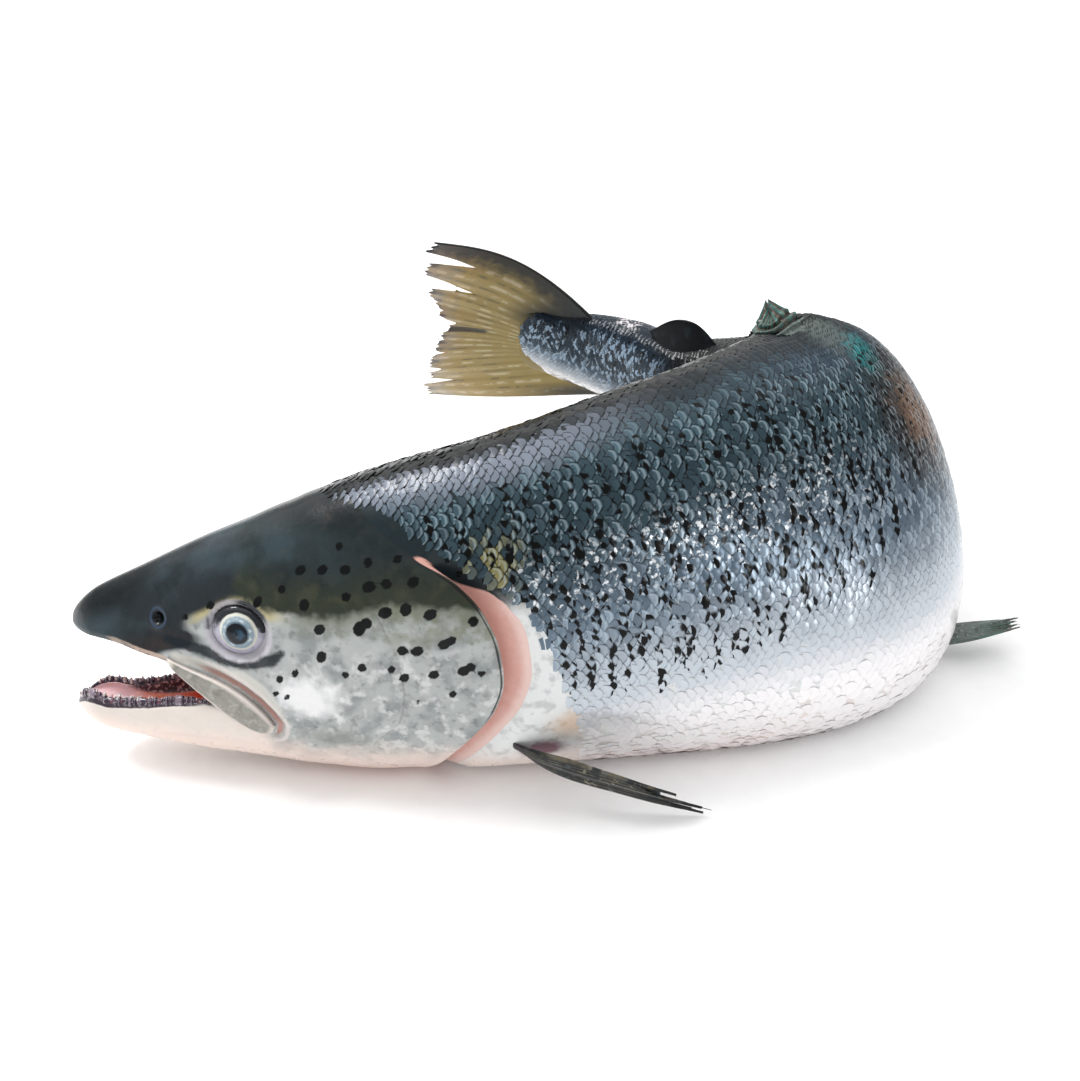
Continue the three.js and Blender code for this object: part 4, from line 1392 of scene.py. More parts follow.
        return {
            "station": at,
            "girth": length / self.girth.half(at),
            "rise": np.where(behind > 1.5, self.plain_rise, up - self.olive_edge(at)),
            "snout": at - self.snout_edge(up),
            "tail_root": smooth(at - self.scale_end(degrees), -2, 4),
            "behind": behind,
            "orbit": ring,
            "orbit_shade": hump(ring, 1.06, 0.14) * np.maximum(hump(arch, 60, 45), 0.6 * hump(arch, 170, 30)),
            "under_eye": self.stroke(at, up, self.under_eye) * smooth(ring, 0.95, 1.04),
            "pale_strip": self.stroke(at, up, self.pale_strip),
            "white_cheek": patch(at, up, (93, 41), (15, 10)),
            "jaw_pale": smooth(up, 34, 32) * smooth(at, 84, 66),
            "axil": patch(at, degrees, (175, 140), (9, 6.5)),
            "nostril": np.hypot(at - self.nostril[0], (up - self.nostril[1]) * 0.85),
            "fold": fold,
            "cheek_rim": rim,
            "flesh": flesh,
            "flesh_deep": smooth(behind, -0.5, 0.5) * smooth(behind, 4.0, 1.0) * smooth(degrees, 62, 80),
            # slit: painted shadow in the gap under the edge of the gill cover
            "slit": hump(behind, -0.9, 0.65) * smooth(degrees, 58, 66) * smooth(degrees, 128, 112),
            # groove: where painted shade darkens the crease by the cheek bone
            "groove": 0.7 * hump(bone, 0.8, 0.9) * smooth(up, 14, 24) * smooth(up, 84, 74)
            * smooth(behind, 0, -3),
            "grey_patch": patch(at, up, (103, 24), (13, 4)),
            "tan_patch": patch(at, degrees, (187, 128), (10, 7)),
            "spot": spot,
        }

    def jaw_skin(self, at: Array, lip: Curve, upper: bool) -> tuple[Array, dict[str, Array]]:
        """Outer skin of a jaw from lip to lip.

        Args:
            at: Stations as a column.
            lip: Height of the lip.
            upper: Whether it is the upper jaw.

        Returns:
            Points and their values.
        """
        columns = self.upper_columns if upper else self.lower_columns
        edge = self.form.angle_at(at, lip(at))
        t = np.linspace(0, 1, columns + 1)[None, :]
        angle = edge * (2 * t - 1) if upper else edge + (2 * np.pi - 2 * edge) * t
        at = np.broadcast_to(at, angle.shape)
        offset, reach = self.lip_offset(at, angle, edge, 1.0)
        side, up = self.form.offset_section(at, angle, offset)
        values = self.values(at, angle)
        if upper:
            values["lip_rim"] = smooth(reach, 2.6, 1.2) * smooth(at, 13, 24)
        else:
            wide = self.dark_rim(at)
            values["gum"] = smooth(reach, wide + 0.9, wide - 0.5) * smooth(at, 62, 46) * smooth(up, 24.5, 28)
        return self.rounded(at, side, up, upper), values

    def lip_offset(self, at: Array, angle: Array, edge: Array,
                   strength: Array | float) -> tuple[Array, Array]:
        """Offset of the skin, which turns in to meet the lining at a lip.

        Args:
            at: Stations.
            angle: Radians from the back.
            edge: Angle of the lip.
            strength: How much the skin turns in, from 0 to 1.

        Returns:
            The offsets and the distances from the lip.
        """
        lip = np.broadcast_to(edge, angle.shape)
        reach = np.abs(self.girth.length(at, angle) - self.girth.length(at, lip))
        near = smooth(reach, self.lip_reach, 0.0) * strength
        return self.relief(at, angle) * (1 - near) - self.lip_roll * near ** 2, reach

    def lining_row(self, wall: Array, lip: Array, arch: Array, columns: int,
                   sign: int) -> tuple[Array, Array]:
        """Side and height of the lining from lip to lip: a flat gum, then an arch.

        Args:
            wall: Side of the lip.
            lip: Height of the lip.
            arch: Rise of the arch.
            columns: Steps from lip to lip.
            sign: 1 for the upper jaw and -1 for the lower.

        Returns:
            Sides and heights.
        """
        gum = np.minimum(self.lip_width, wall * self.gum_share)
        turn = np.pi * np.arange(columns - 1)[None, :] / (columns - 2)
        ridge = 0.7 * hump(turn, 0, 0.16) + 0.7 * hump(turn, np.pi, 0.16)
        rise = self.gum_step + arch * np.maximum(np.sin(turn), 0) ** self.arch_fullness - ridge
        side = np.concatenate([sign * wall, sign * (wall - gum) * np.cos(turn), -sign * wall], axis=1)
        up = np.concatenate([lip, lip + sign * rise, lip], axis=1)
        return side, up

    def jaw_lining(self, at: Array, lip: Curve, arch: Curve, upper: bool) -> tuple[Array, dict[str, Array]]:
        """Lining of a jaw, with the values of its flesh.

        Args:
            at: Stations as a column.
            lip: Height of the lip.
            arch: Rise of the arch.
            upper: Whether it is the upper jaw.

        Returns:
            Points and their values.
        """
        columns = self.upper_columns if upper else self.lower_columns
        angle = self.form.angle_at(at, lip(at))
        edge_side, edge_up = self.form.offset_section(at, angle, -self.lip_roll)
        side, up = self.lining_row(edge_side, edge_up, arch(at), columns, 1 if upper else -1)
        share = np.abs(side) / np.maximum(edge_side, 1e-6)
        gum = smooth(share, 0.7, 0.8) * smooth(at, 64, 50)
        values = {"gum": gum, "depth": np.broadcast_to(at / 100, side.shape), "station": at}
        return self.rounded(at, side, up, upper), values

    def throat(self, surface: Surface) -> None:
        """Closes the mouth behind its corner.

        Args:
            surface: Surface that the throat is added to.
        """
        at = np.linspace(self.corner, self.throat_end, self.throat_rows)[:-1, None]
        corner = np.array([[self.corner]])
        lip = self.upper_lip(corner)
        wall, lip = self.form.offset_section(corner, self.form.angle_at(corner, lip), -self.lip_roll)
        top = self.lining_row(wall, lip, self.palate_arch(corner), self.upper_columns, 1)
        low = self.lining_row(wall, lip, self.floor_sag(corner), self.lower_columns, -1)
        side = np.concatenate([top[0][:, :-1], low[0][:, :-1]], axis=1)
        up = np.concatenate([top[1][:, :-1], low[1][:, :-1]], axis=1)
        scale = np.sqrt(1 - ((at - self.corner) / (self.throat_end - self.corner)) ** 2)
        points = self.form.lay(at, side * scale, self.throat_height + (up - self.throat_height) * scale)
        surface.grid(points, {"depth": np.broadcast_to(at / 100, points.shape[:2])}, closed=True, slot=1)
        tip = self.form.lay(np.array(self.throat_end), np.array(0.0), np.array(self.throat_height))
        surface.fan(points[-1], tip, {"depth": 1.1}, slot=1)

    def rings(self, surface: Surface) -> None:
        """Full rings behind the corner of the mouth: cheek, gill step, shoulder and trunk.

        Args:
            surface: Surface that the rings are added to.
        """
        corner = float(self.form.angle_at(np.array(self.corner), self.upper_lip(self.corner)))
        upper = corner * np.linspace(-1, 1, self.upper_columns + 1)
        lower = corner + (2 * np.pi - 2 * corner) * np.linspace(0, 1, self.lower_columns + 1)[1:-1]
        angle = np.concatenate([upper, lower])[None, :]
        degrees = np.degrees(from_back(angle))
        edge, is_open = self.gill_edge(degrees), self.gill_open(degrees)
        steps = self.step_back.knots[-1][0]
        first, last = self.step_back(0.0), self.step_back(steps)
        rows, deep, behind = [], [], []

        def take(at: Array, depth: Array | float, after: Array | float) -> None:
            """Keeps one set of rows.

            Args:
                at: Stations.
                depth: Millimetres outwards.
                after: Millimetres behind the gill cover.
            """
            rows.append(np.broadcast_to(at, (at.shape[0], angle.shape[1])))
            deep.append(np.broadcast_to(depth, rows[-1].shape))
            behind.append(np.broadcast_to(after, rows[-1].shape))

        t = np.linspace(0, 1, self.cheek_rows + 1)[:-1, None]
        at = self.corner + (edge + first - self.corner) * t
        take(at, 0.0, at - edge)
        p = np.linspace(0, steps, self.step_rows)[:, None]
        even = first + (last - first) * p / steps
        after = even + (self.step_back(p) - even) * is_open
        under = np.where(p < 1.2, after, np.maximum(after, p * 1.35 - 1.2))
        take(edge + after, -self.step_deep(p) * is_open, under)
        t = np.linspace(0, 1, self.shoulder_rows + 1)[1:, None]
        start = edge + last
        at = start + (self.shoulder_end - start) * t
        take(at, 0.0, at - edge)
        reach = self.form.body_end - self.shoulder_end
        count = round(reach / self.trunk_step)
        at = self.shoulder_end + reach * np.arange(1, count + 1)[:, None] / count
        take(at, 0.0, at - edge)
        at, depth, after = (np.concatenate(part) for part in (rows, deep, behind))
        angles = np.broadcast_to(angle, at.shape)
        half_turn = np.where(angles > np.pi, angles - 2 * np.pi, angles)
        offset, _ = self.lip_offset(at, half_turn, np.array(corner), smooth(at, self.corner + 7, self.corner))
        points = self.form.skin(at, angles, depth + offset)
        surface.grid(points, {**self.values(at, half_turn, after), "gum": 0.0}, closed=True)
        end = self.form.body_end
        middle = (self.form.back(end) + self.form.belly(end)) / 2
        tip = self.form.lay(np.array(end + 2), np.array(0.0), np.array(middle))
        values = {"station": end, "girth": 0.4, "behind": end, "rise": self.plain_rise,
                  "spot": self.no_spot}
        surface.fan(points[-1], tip, values)

    def build(self) -> list[Piece]:
        """Makes the skin with its lining.

        Returns:
            The skin, in a list.
        """
        surface = Surface()
        t = np.linspace(0, 1, self.jaw_rows + 1)[:, None]
        at = self.corner * t ** 1.5
        jaws = ((True, self.upper_lip, self.palate_arch), (False, self.lower_lip, self.floor_sag))
        for upper, lip, arch in jaws:
            points, values = self.jaw_skin(at, lip, upper)
            surface.grid(points, values)
            points, values = self.jaw_lining(at, lip, arch, upper)
            surface.grid(points, values, slot=1)
        self.throat(surface)
        self.rings(surface)
        mesh = surface.mesh("body_skin", weld=self.weld)
        return [settle(mesh, [HEAD_SKIN.material(), MOUTH_FLESH.material()], "skin", "body")]


@dataclass
class Eye(SubAssembly):
    """Eyeballs with a raised clear front, a pupil and an iris."""

    at: float = 70.0
    side: float = 17.5
    up: float = 62.5
    long: float = 11.0
    deep: float = 7.0
    high: float = 10.0
    bulge: float = 0.9
    back_ring: float = 14.0
    rings: int = 44
    segments: int = 64

    def build(self) -> list[Piece]:
        """Makes both eyeballs.

        Returns:
            The eyeballs.
        """
        pieces = []
        material = EYE.material()
        polar = np.linspace(0, np.pi, self.rings + 1)[1:-1, None]
        turn = np.linspace(0, 2 * np.pi, self.segments, endpoint=False)[None, :]
        along, high = np.sin(polar) * np.cos(turn) * self.long, np.sin(polar) * np.sin(turn) * self.high
        ring = np.where(polar < np.pi / 2, np.hypot(along, high), self.back_ring)
        out = self.deep * np.cos(polar) + self.bulge * smooth(ring, 6.6, 3.6) - 0.3 * hump(ring, 6.9, 0.8)
        # arch: painted shadow of the lid over the top of the eye; glint: painted highlight in the pupil
        arch = hump(np.degrees(turn), 80, 92) * hump(ring, 8.9, 2.9)
        glint = hump(np.hypot(along - 0.9, high + 0.2) / 2.3, 0, 1)
        for hand in Hand:
            surface = Surface()
            values = {"ring": ring, "arch": arch, "glint": glint}
            points = self.form.lay(self.at + along, hand.value * (self.side + out), self.up + high)
            surface.grid(points, values, closed=True)
            for row, place, ring_here in ((0, self.deep + self.bulge, 0.0), (-1, -self.deep, self.back_ring)):
                side = np.array(hand.value * (self.side + place))
                tip = self.form.lay(np.array(self.at), side, np.array(self.up))
                surface.fan(points[row], tip, {"ring": np.append(ring[row], ring_here)})
            mesh = surface.mesh(f"eyeball_{hand.word}")
            pieces.append(settle(mesh, [material], "eye", f"eye_{hand.word}"))
        return pieces


@dataclass
class JawPlate(SubAssembly):
    """Thin plates of the upper jaw that cover the corner of the mouth."""

    upper: Knots = ((42, 50.6), (52, 47.2), (61.5, 44.2), (68, 41), (74, 36.5), (78, 32), (80.3, 28))
    lower: Knots = ((42, 49), (48, 43.5), (54, 38.5), (61, 32.8), (67.5, 28), (74, 25.2), (79.5, 26))
    thick: float = 2.2
    edge: float = 0.8
    gap: float = 0.75
    rows: int = 64
    columns: int = 24

    def edges(self, v: Array) -> tuple[Array, Array, Array, Array]:
        """Station and height of the upper and then the lower edge.

        Args:
            v: Places from the front (0) to the rear (1).

        Returns:
            Four arrays.
        """
        found = []
        for knots in (self.upper, self.lower):
            for axis in range(2):
                curve = Curve(tuple((i / (len(knots) - 1), knot[axis]) for i, knot in enumerate(knots)))
                found.append(curve(v))
        return tuple(found)

    def build(self) -> list[Piece]:
        """Makes both plates.

        Returns:
            The plates.
        """
        pieces = []
        material = JAW_PLATE_SKIN.material()
        v = np.linspace(0, 1, self.rows + 1)[:, None]
        u = np.linspace(-1, 1, self.columns + 1)[None, :]
        upper_at, upper_up, lower_at, lower_up = self.edges(v)
        at = lower_at + (upper_at - lower_at) * (u + 1) / 2
        up = lower_up + (upper_up - lower_up) * (u + 1) / 2
        half = (self.edge + (self.thick - self.edge) * np.sqrt(np.maximum(0, 1 - u * u))) / 2
        ends = smooth(v, 0, 0.06) * smooth(v, 1, 0.95)
        ridge = 0.3 * hump(np.abs(u), 0.78, 0.14) - 0.35 * hump(u, 0.15, 0.3) * smooth(v, 0.2, 0.5)
        grain = 0.12 * np.sin(u * 9 + 5 * np.sin(v * 9)) * np.sin(v * 31 + 3 * u)
        out = self.gap + 2 * half * (0.35 + 0.65 * ends) + (ridge + grain) * ends
        rim = np.maximum(np.abs(u), 1 - 2 * np.minimum(v * 1.3, 1 - v) * 1.6)
        for hand in Hand:
            surface = Surface()
            values = {"rim": rim, "reach": v, "streak": 0.5 + 0 * u}
            inner = np.broadcast_to(0.1, out.shape)
            surface.slab(self.form.flank(at, up, hand, out), self.form.flank(at, up, hand, inner), values)
            mesh = surface.mesh(f"jaw_cover_{hand.word}")
            pieces.append(settle(mesh, [material], "jaw_plate", f"jaw_plate_{hand.word}"))
        return pieces


@dataclass
class Tongue(SubAssembly):
    """Fleshy tongue on the floor of the mouth."""

    body: Body
    start: float = 14.0
    end: float = 84.0
    half_width: float = 7.5
    tip_width: float = 0.45
    tip_rounding: float = 0.15
    thick: float = 7.0
    tip_thickness: float = 0.55
    edge: float = 0.3
    gap: float = 0.75
    rows: int = 70
    columns: int = 24

    def build(self) -> list[Piece]:
        """Makes the tongue.

        Returns:
            The tongue, in a list.
        """
        v = np.linspace(0, 1, self.rows + 1)[:, None]
        u = np.linspace(-1, 1, self.columns + 1)[None, :]
        at = self.start + (self.end - self.start) * v
        grow = np.sin(np.pi * np.minimum(0.5, self.tip_rounding + v))
        width = self.half_width * (self.tip_width + (1 - self.tip_width) * grow)
        lip = self.body.lower_lip(at)
        wall = self.form.section(at, self.form.angle_at(at, lip))[0] - self.body.lip_width
        turn = np.arccos(np.minimum(0.999, np.abs(u) * width / wall))
        sag = self.body.floor_sag(at) * np.sin(turn) ** self.body.arch_fullness
        ground = lip - self.body.gum_step - sag + self.gap
        half = self.edge + self.thick / 2 * np.sqrt(np.maximum(0, 1 - u * u)) * (
            self.tip_thickness + (1 - self.tip_thickness) * v)
        groove = -0.7 * hump(u, 0, 0.16) * smooth(v, 0.1, 0.3) + 0.3 * hump(np.abs(u), 0.55, 0.2)
        bumps = 0.22 * np.sin(at * 2.1 + 3 * np.sin(u * 5)) * np.sin(u * 11) * smooth(np.abs(u), 1, 0.7)
        top = ground + 2 * half + (groove + bumps) * smooth(v, 0, 0.08)
        surface = Surface()
        values = {"reach": v}
        surface.slab(self.form.lay(at, u * width, top), self.form.lay(at, u * width, ground - 0.3), values)
        return [settle(surface.mesh("tongue_flesh"), [TONGUE_FLESH.material()], "mouth", "tongue")]


@dataclass
class Teeth(SubAssembly):
    """Small hooked teeth along both gums."""

    body: Body
    height: float = 1.7
    radius: float = 0.55
    hook: float = 0.7
    spacing: float = 2.9
    last: float = 58.0
    inner_last: float = 34.0
    tooth_sides: int = 6
    gum_rows: int = 150
    gum_columns: int = 14
    gum_end: float = 66.0
    gum_height: float = 2.0
    gum_stand: float = 1.7

    def tooth(self) -> Piece:
        """One tooth that stands along z and leans towards x.

        Returns:
            The tooth, as an object.
        """
        surface = Surface()
        t = np.array([-0.3, 0.0, 0.4, 0.75])[:, None]
        turn = np.arange(self.tooth_sides)[None, :] * 2 * np.pi / self.tooth_sides
        wide = self.radius * (1 - 0.8 * np.maximum(t, 0) ** 1.3)
        lean = self.hook * np.maximum(t, 0) ** 2
        x, y, z = np.broadcast_arrays(lean + wide * np.cos(turn), wide * np.sin(turn), t * self.height)
        points = np.stack([x, y, z], axis=-1)
        surface.grid(points, closed=True)
        surface.fan(points[-1], np.array([self.hook, 0, self.height]))
        surface.fan(points[0], np.array([0, 0, -0.4 * self.height]))
        return shown(surface.mesh("tooth_shape"))

    def build(self) -> list[Piece]:
        """Sets the teeth on the gums.

        Returns:
            The teeth and the gums.
        """
        chance = np.random.default_rng(SEED + 1)
        places, facings, sizes = [], [], []
        jaws = ((1, self.body.upper_lip, self.body.upper_tip), (-1, self.body.lower_lip, self.body.lower_tip))
        for sign, lip, tip in jaws:
            for hand in Hand:
                for inner in (0.35, 0.8):
                    at = np.arange(2.0, self.last if inner < 0.5 else self.inner_last, self.spacing)
                    at = at + chance.uniform(-0.7, 0.7, len(at))
                    wall = self.form.section(at, self.form.angle_at(at, lip(at)))[0]
                    gum = np.minimum(self.body.lip_width, wall * self.body.gum_share)
                    scale = self.body.tip_scale(at)
                    side = hand.value * (wall - gum * inner - 0.5) * scale
                    up = tip + (lip(at) + sign * 0.4 - tip) * scale + (self.gum_stand if sign < 0 else 0.0)
                    root = self.form.lay(at, side, up)
                    away = self.form.lay(at, side, up - sign) - root
                    inwards = self.form.lay(at + 0.8, side * 0.9, up) - root
                    places.append(root)
                    facings.append(quaternions(inwards, away))
                    grow = chance.uniform(0.6, 1.25, len(at)) * np.interp(at, [0, 10, 60], [0.7, 1.15, 0.55])
                    if sign > 0:
                        grow = grow * 0.75
                    sizes.append(np.stack([grow, grow, grow], axis=-1))
        carrier = point_cloud(np.concatenate(places), {
            "facing": ("QUATERNION", np.concatenate(facings)),
            "size": ("FLOAT_VECTOR", np.concatenate(sizes))})
        shape = self.tooth()
        material = TOOTH.material()
        mesh = CopiesModel().run(carrier, "gum_teeth", {
            "Shape": shape, "Unevenness": 0.25, "Seed": SEED, "Finish": material})
        bpy.data.objects.remove(shape)
        return [settle(mesh, [material], "mouth"), self.gums()]

    def gums(self) -> Piece:
        """Dark ridged gum that stands along the inside of the lower lip.

        Returns:
            The gums of both sides, in one piece.
        """
        surface = Surface()
        at = np.linspace(1.2, self.gum_end, self.gum_rows)[:, None]
        turn = np.linspace(0, 2 * np.pi, self.gum_columns, endpoint=False)[None, :]
        lip, tip, scale = self.body.lower_lip(at), self.body.lower_tip, self.body.tip_scale(at)
        wall = self.form.section(at, self.form.angle_at(at, lip))[0]
        gum = np.minimum(self.body.lip_width, wall * self.body.gum_share)
        taper = np.sqrt(smooth(at, 0, 6) * smooth(at, self.gum_end + 1, self.gum_end - 22))
        for hand in Hand:
            ridge = np.sin(2 * np.pi * at / self.spacing + 2.2 * np.sin(at * 0.9 + hand.value))
            swell = taper * (1 + 0.16 * ridge)
            side = hand.value * ((wall - gum * 0.5 - 0.5) * scale + gum * 0.45 * np.sin(turn) * swell)
            up = tip + (lip - tip) * scale + (0.3 + self.gum_height * np.cos(turn)) * swell
            points = self.form.lay(at, side, up)
            surface.grid(points, {"ridge": 0.5 + 0.5 * ridge}, closed=True)
            for row in (0, -1):
                surface.fan(points[row], points[row].mean(axis=0))
        return settle(surface.mesh("gum_ridges"), [GUM.material()], "mouth")


@dataclass
class Scales(SubAssembly):
    """Overlapping scales of the trunk, in a front and a rear piece for each flank."""

    body: Body
    front: Curve = Curve((
        (0, 96), (19, 104), (30, 116), (44.5, 127.5), (57, 140), (68, 151.5), (82.5, 167.5), (97.5, 174),
        (116.5, 181), (137.5, 186.5), (180, 190)))
    first: float = 90.0
    rear: float = 692.0
    fine_step: float = 0.25
    parts: tuple[float, ...] = (0.0, 300.0, 700.0)
    pitch: Curve = Curve(((90, 2.9), (200, 3.25), (300, 3.4), (480, 3.1), (600, 2.6), (690, 2.1)))
    plain_pitch: float = 4.5
    row_share: float = 0.75
    lateral: float = 0.42
    length: float = 7.2
    half_width: float = 4.1
    fade: float = 9.0
    stretch_range: tuple[float, float] = (0.55, 1.5)
    spot_spacing: float = 5.0
    spot_tries: int = 16000
    spots_from: float = 102.0
    spots_span: float = 570.0
    tints: tuple[tuple[str, tuple[float, float], tuple[float, float]], ...] = (
        ("olive", (159, 0.325), (12, 0.075)), ("teal", (352, 0.19), (17, 0.065)),
        ("brown", (364, 0.35), (28, 0.13)), ("grey", (338, 0.1), (30, 0.09)))
    # place and size of a painted highlight, a pale streak that stands for a glossy reflection
    white_streak: tuple[tuple[float, float], tuple[float, float]] = ((603, 0.03), (12, 0.025))
    table_gap: float = 0.05

    def scale_shape(self) -> Piece:
        """One scale with its root at the origin, which lies along x and rises along z.

        Returns:
            The scale, as an object.
        """
        surface = Surface()
        t = np.array([0.12, 0.55, 0.88])[:, None]
        across = np.linspace(-1, 1, 5)[None, :]
        wide = self.half_width * np.array([0.8, 1.0, 0.66])[:, None]
        rise = np.array([-0.3, 0.26, 0.36])[:, None]
        x = self.length * (t - 0.05 * across ** 2)
        y = wide * across
        z = rise - 0.12 * across ** 2
        x, y, z = np.broadcast_arrays(x, y, z)
        points = np.stack([x, y, z], axis=-1)
        # rim: nearness to the scale's rim, from which the finish paints the highlight and the edge shadow
        edge = np.maximum(0.75 * smooth(t, 0.4, 0.88), np.abs(across) ** 2 * smooth(t, 0.2, 0.6))
        values = {"rim": edge, "local_x": x, "local_y": y}
        surface.grid(points, values)
        tip = {"rim": 1.0, "local_x": self.length, "local_y": 0.0}
        last = {key: np.append(value[-1], tip[key]) for key, value in values.items()}
        surface.fan(points[-1], np.array([self.length, 0, 0.28]), last, loop=False)
        return shown(upwards(surface.mesh("scale_shape", outwards=False)))

    def lattice(self) -> tuple[Array, Array, Array]:
        """Brick pattern of roots over one flank.

        Returns:
            Stations, angles from the back in radians, and distances over the skin from the back.
        """
        fine = np.arange(self.first, self.rear, self.fine_step)
        count = np.concatenate([[0], np.cumsum(self.fine_step / self.pitch(fine))[:-1]])
        stations, angles, lengths = [], [], []
        for parity in (0, 1):
            rows = np.arange(-80 + parity, 120, 2)
            wanted = np.arange(0, int(count[-1])) + parity / 2
            for at in np.interp(wanted, count, fine):
                half, step = float(self.girth.half(at)), float(self.pitch(at)) * self.row_share
                length = self.lateral * half + rows * step
                length = length[(length > 0.35 * step) & (length < half - 0.35 * step)]
                angle = self.girth.angle(at, length)
                keep = (at > self.front(np.degrees(angle))) & (at < self.body.scale_end(np.degrees(angle)))
                stations.append(np.full(keep.sum(), at))
                angles.append(angle[keep])
                lengths.append(length[keep])
        return np.concatenate(stations), np.concatenate(angles), np.concatenate(lengths)

    def spots(self, chance: np.random.Generator) -> Array:
        """Black spots as rows of station, distance from the back, half height and half width.

        Args:
            chance: Source of the random places.

        Returns:
            One row for each spot.
        """
        high = Curve(((100, 0.2), (170, 0.2), (270, 0.17), (313, 0.24), (340, 0.14), (430, 0.1), (670, 0.08)))
        low = Curve(((100, 0.35), (150, 0.5), (175, 0.63), (235, 0.68), (285, 0.62), (313, 0.56), (345, 0.44),
                     (430, 0.4), (560, 0.36), (670, 0.3)))
        kept = np.empty((0, 4))
        for at, share, tall, wide, luck, room in chance.uniform(size=(self.spot_tries, 6)):
            at = self.spots_from + at * self.spots_span
            if not high(at) < share < low(at) or luck > 1.0 - 0.6 * float(smooth(at, 325, 400)):
                continue
            length = share * float(self.girth.half(at))
            near = np.hypot(kept[:, 0] - at, (kept[:, 1] - length) * 0.85)
            if len(kept) and near.min() < self.spot_spacing * (0.8 + 0.9 * room):
                continue
            grow = (0.9 + 0.4 * float(smooth(share, 0.25, 0.5))) * (1.0 - 0.25 * float(smooth(at, 300, 480)))
            kept = np.append(kept, [[at, length, (1.7 + 1.6 * tall) * grow, 1.15 + 0.65 * wide]], axis=0)
        return kept

    def spot_distance(self, at: Array, length: Array, spots: Array) -> Array:
        """Millimetres from the edge of the nearest black spot, and negative inside it.

        Args:
            at: Stations.
            length: Distances over the skin from the back.
            spots: Rows that spots() made.

        Returns:
            Millimetres.
        """
        best = np.full(at.shape, 9.0)
        for station, middle, tall, wide in spots:
            near = np.abs(at - station) < 12
            across = np.abs(length[near] - middle) / tall
            along = np.abs(at[near] - station + (length[near] - middle) * 0.12) / wide
            share = (across ** 1.4 + along ** 1.4) ** (1 / 1.4)
            best[near] = np.minimum(best[near], (share - 1) * wide)
        return best

    def build(self) -> list[Piece]:
        """Lays the scales on both flanks.

        Returns:
            Two pieces for each flank.
        """
        pieces = []
        shape, material, model = self.scale_shape(), SCALE.material(), CopiesModel()
        everywhere = self.lattice()
        for hand in Hand:
            chance = np.random.default_rng(SEED + 2 + hand.value)
            spots = self.spots(chance)
            for word, start, end in zip(("front", "rear"), self.parts, self.parts[1:]):
                inside = (everywhere[0] >= start) & (everywhere[0] < end)
                carrier = self.carrier(hand, chance, *(part[inside] for part in everywhere))
                mesh = model.run(carrier, f"scales_{hand.word}_{word}", {
                    "Shape": shape, "Unevenness": 0.05, "Seed": SEED + hand.value, "Finish": material})
                self.dress(mesh, hand, spots)
                pieces.append(settle(mesh, [material], "skin"))
        bpy.data.objects.remove(shape)
        return pieces

    def carrier(self, hand: Hand, chance: np.random.Generator, at: Array, angle: Array,
                length: Array) -> Mesh:
        """Points that scales grow on.

        Args:
            hand: The flank.
            chance: Source of the small differences between scales.
            at: Stations.
            angle: Radians from the back.
            length: Distances over the skin from the back.

        Returns:
            A mesh of points with the attributes that place, size and colour the scales.
        """
        turned = hand.value * angle
        along = self.form.skin(at + 1, turned) - self.form.skin(at - 1, turned)
        around = self.form.skin(at, turned + 0.01) - self.form.skin(at, turned - 0.01)
        stretch = np.linalg.norm(along, axis=-1) / 2
        grow = self.pitch(at) / self.plain_pitch
        edge = at - self.front(np.degrees(angle))
        fade = 0.86 + 0.14 * smooth(edge, 0, self.fade)
        size = grow * chance.uniform(0.95, 1.06, len(at)) * fade
        flat = 1 - 0.93 * smooth(length / self.girth.half(at), 0.62, 0.84)
        long, high = size * np.clip(stretch, *self.stretch_range), grow * (0.75 + 0.25 * fade) * flat
        sizes = np.stack([long, size, high], axis=-1)
        return point_cloud(self.form.skin(at, turned), {
            "facing": ("QUATERNION", quaternions(along, np.cross(around, along))),
            "size": ("FLOAT_VECTOR", sizes),
            "station": ("FLOAT", at),
            "arc": ("FLOAT", length),
            "grow": ("FLOAT", grow * fade),
            "girth": ("FLOAT", length / self.girth.half(at)),
            "chance": ("FLOAT", chance.uniform(size=len(at))),
            "shift": ("FLOAT", chance.normal(0, 0.28, len(at)))})

    def dress(self, mesh: Mesh, hand: Hand, spots: Array) -> None:
        """Adds the spots, the tints and a painted highlight to a laid flank, and keeps the scales over the
        table.

        Args:
            mesh: Scales of one piece.
            hand: The flank.
            spots: Rows that spots() made.
        """
        size = len(mesh.vertices)
        read = {}
        for key in ("station", "arc", "grow", "local_x", "local_y", "shift"):
            read[key] = np.empty(size, np.float32)
            mesh.attributes[key].data.foreach_get("value", read[key])
        at = read["station"] + read["local_x"] * read["grow"]
        length = read["arc"] + hand.value * read["local_y"] * read["grow"]
        spot = self.spot_distance(at + read["shift"], length + read["shift"] * 1.4, spots)
        share = length / self.girth.half(at)
        left = float(hand is Hand.LEFT)
        tints = {f"{name}_tint": [left * patch(at, share, *oval)] for name, *oval in self.tints}
        # painted highlight: a pale streak that stands for a glossy reflection
        tints["white_tint"] = [patch(at, hand.value * share, *self.white_streak)]
        carry(mesh, {"spot": [spot], **tints})
        for key in ("facing", "size", "arc", "grow", "local_x", "local_y", "shift"):
            if key in mesh.attributes:
                mesh.attributes.remove(mesh.attributes[key])
        points = np.empty(size * 3, np.float32)
        mesh.vertices.foreach_get("co", points)
        points = points.reshape(-1, 3)
        points[:, 2] = np.maximum(points[:, 2], self.table_gap * MM)
        mesh.vertices.foreach_set("co", points.reshape(-1))


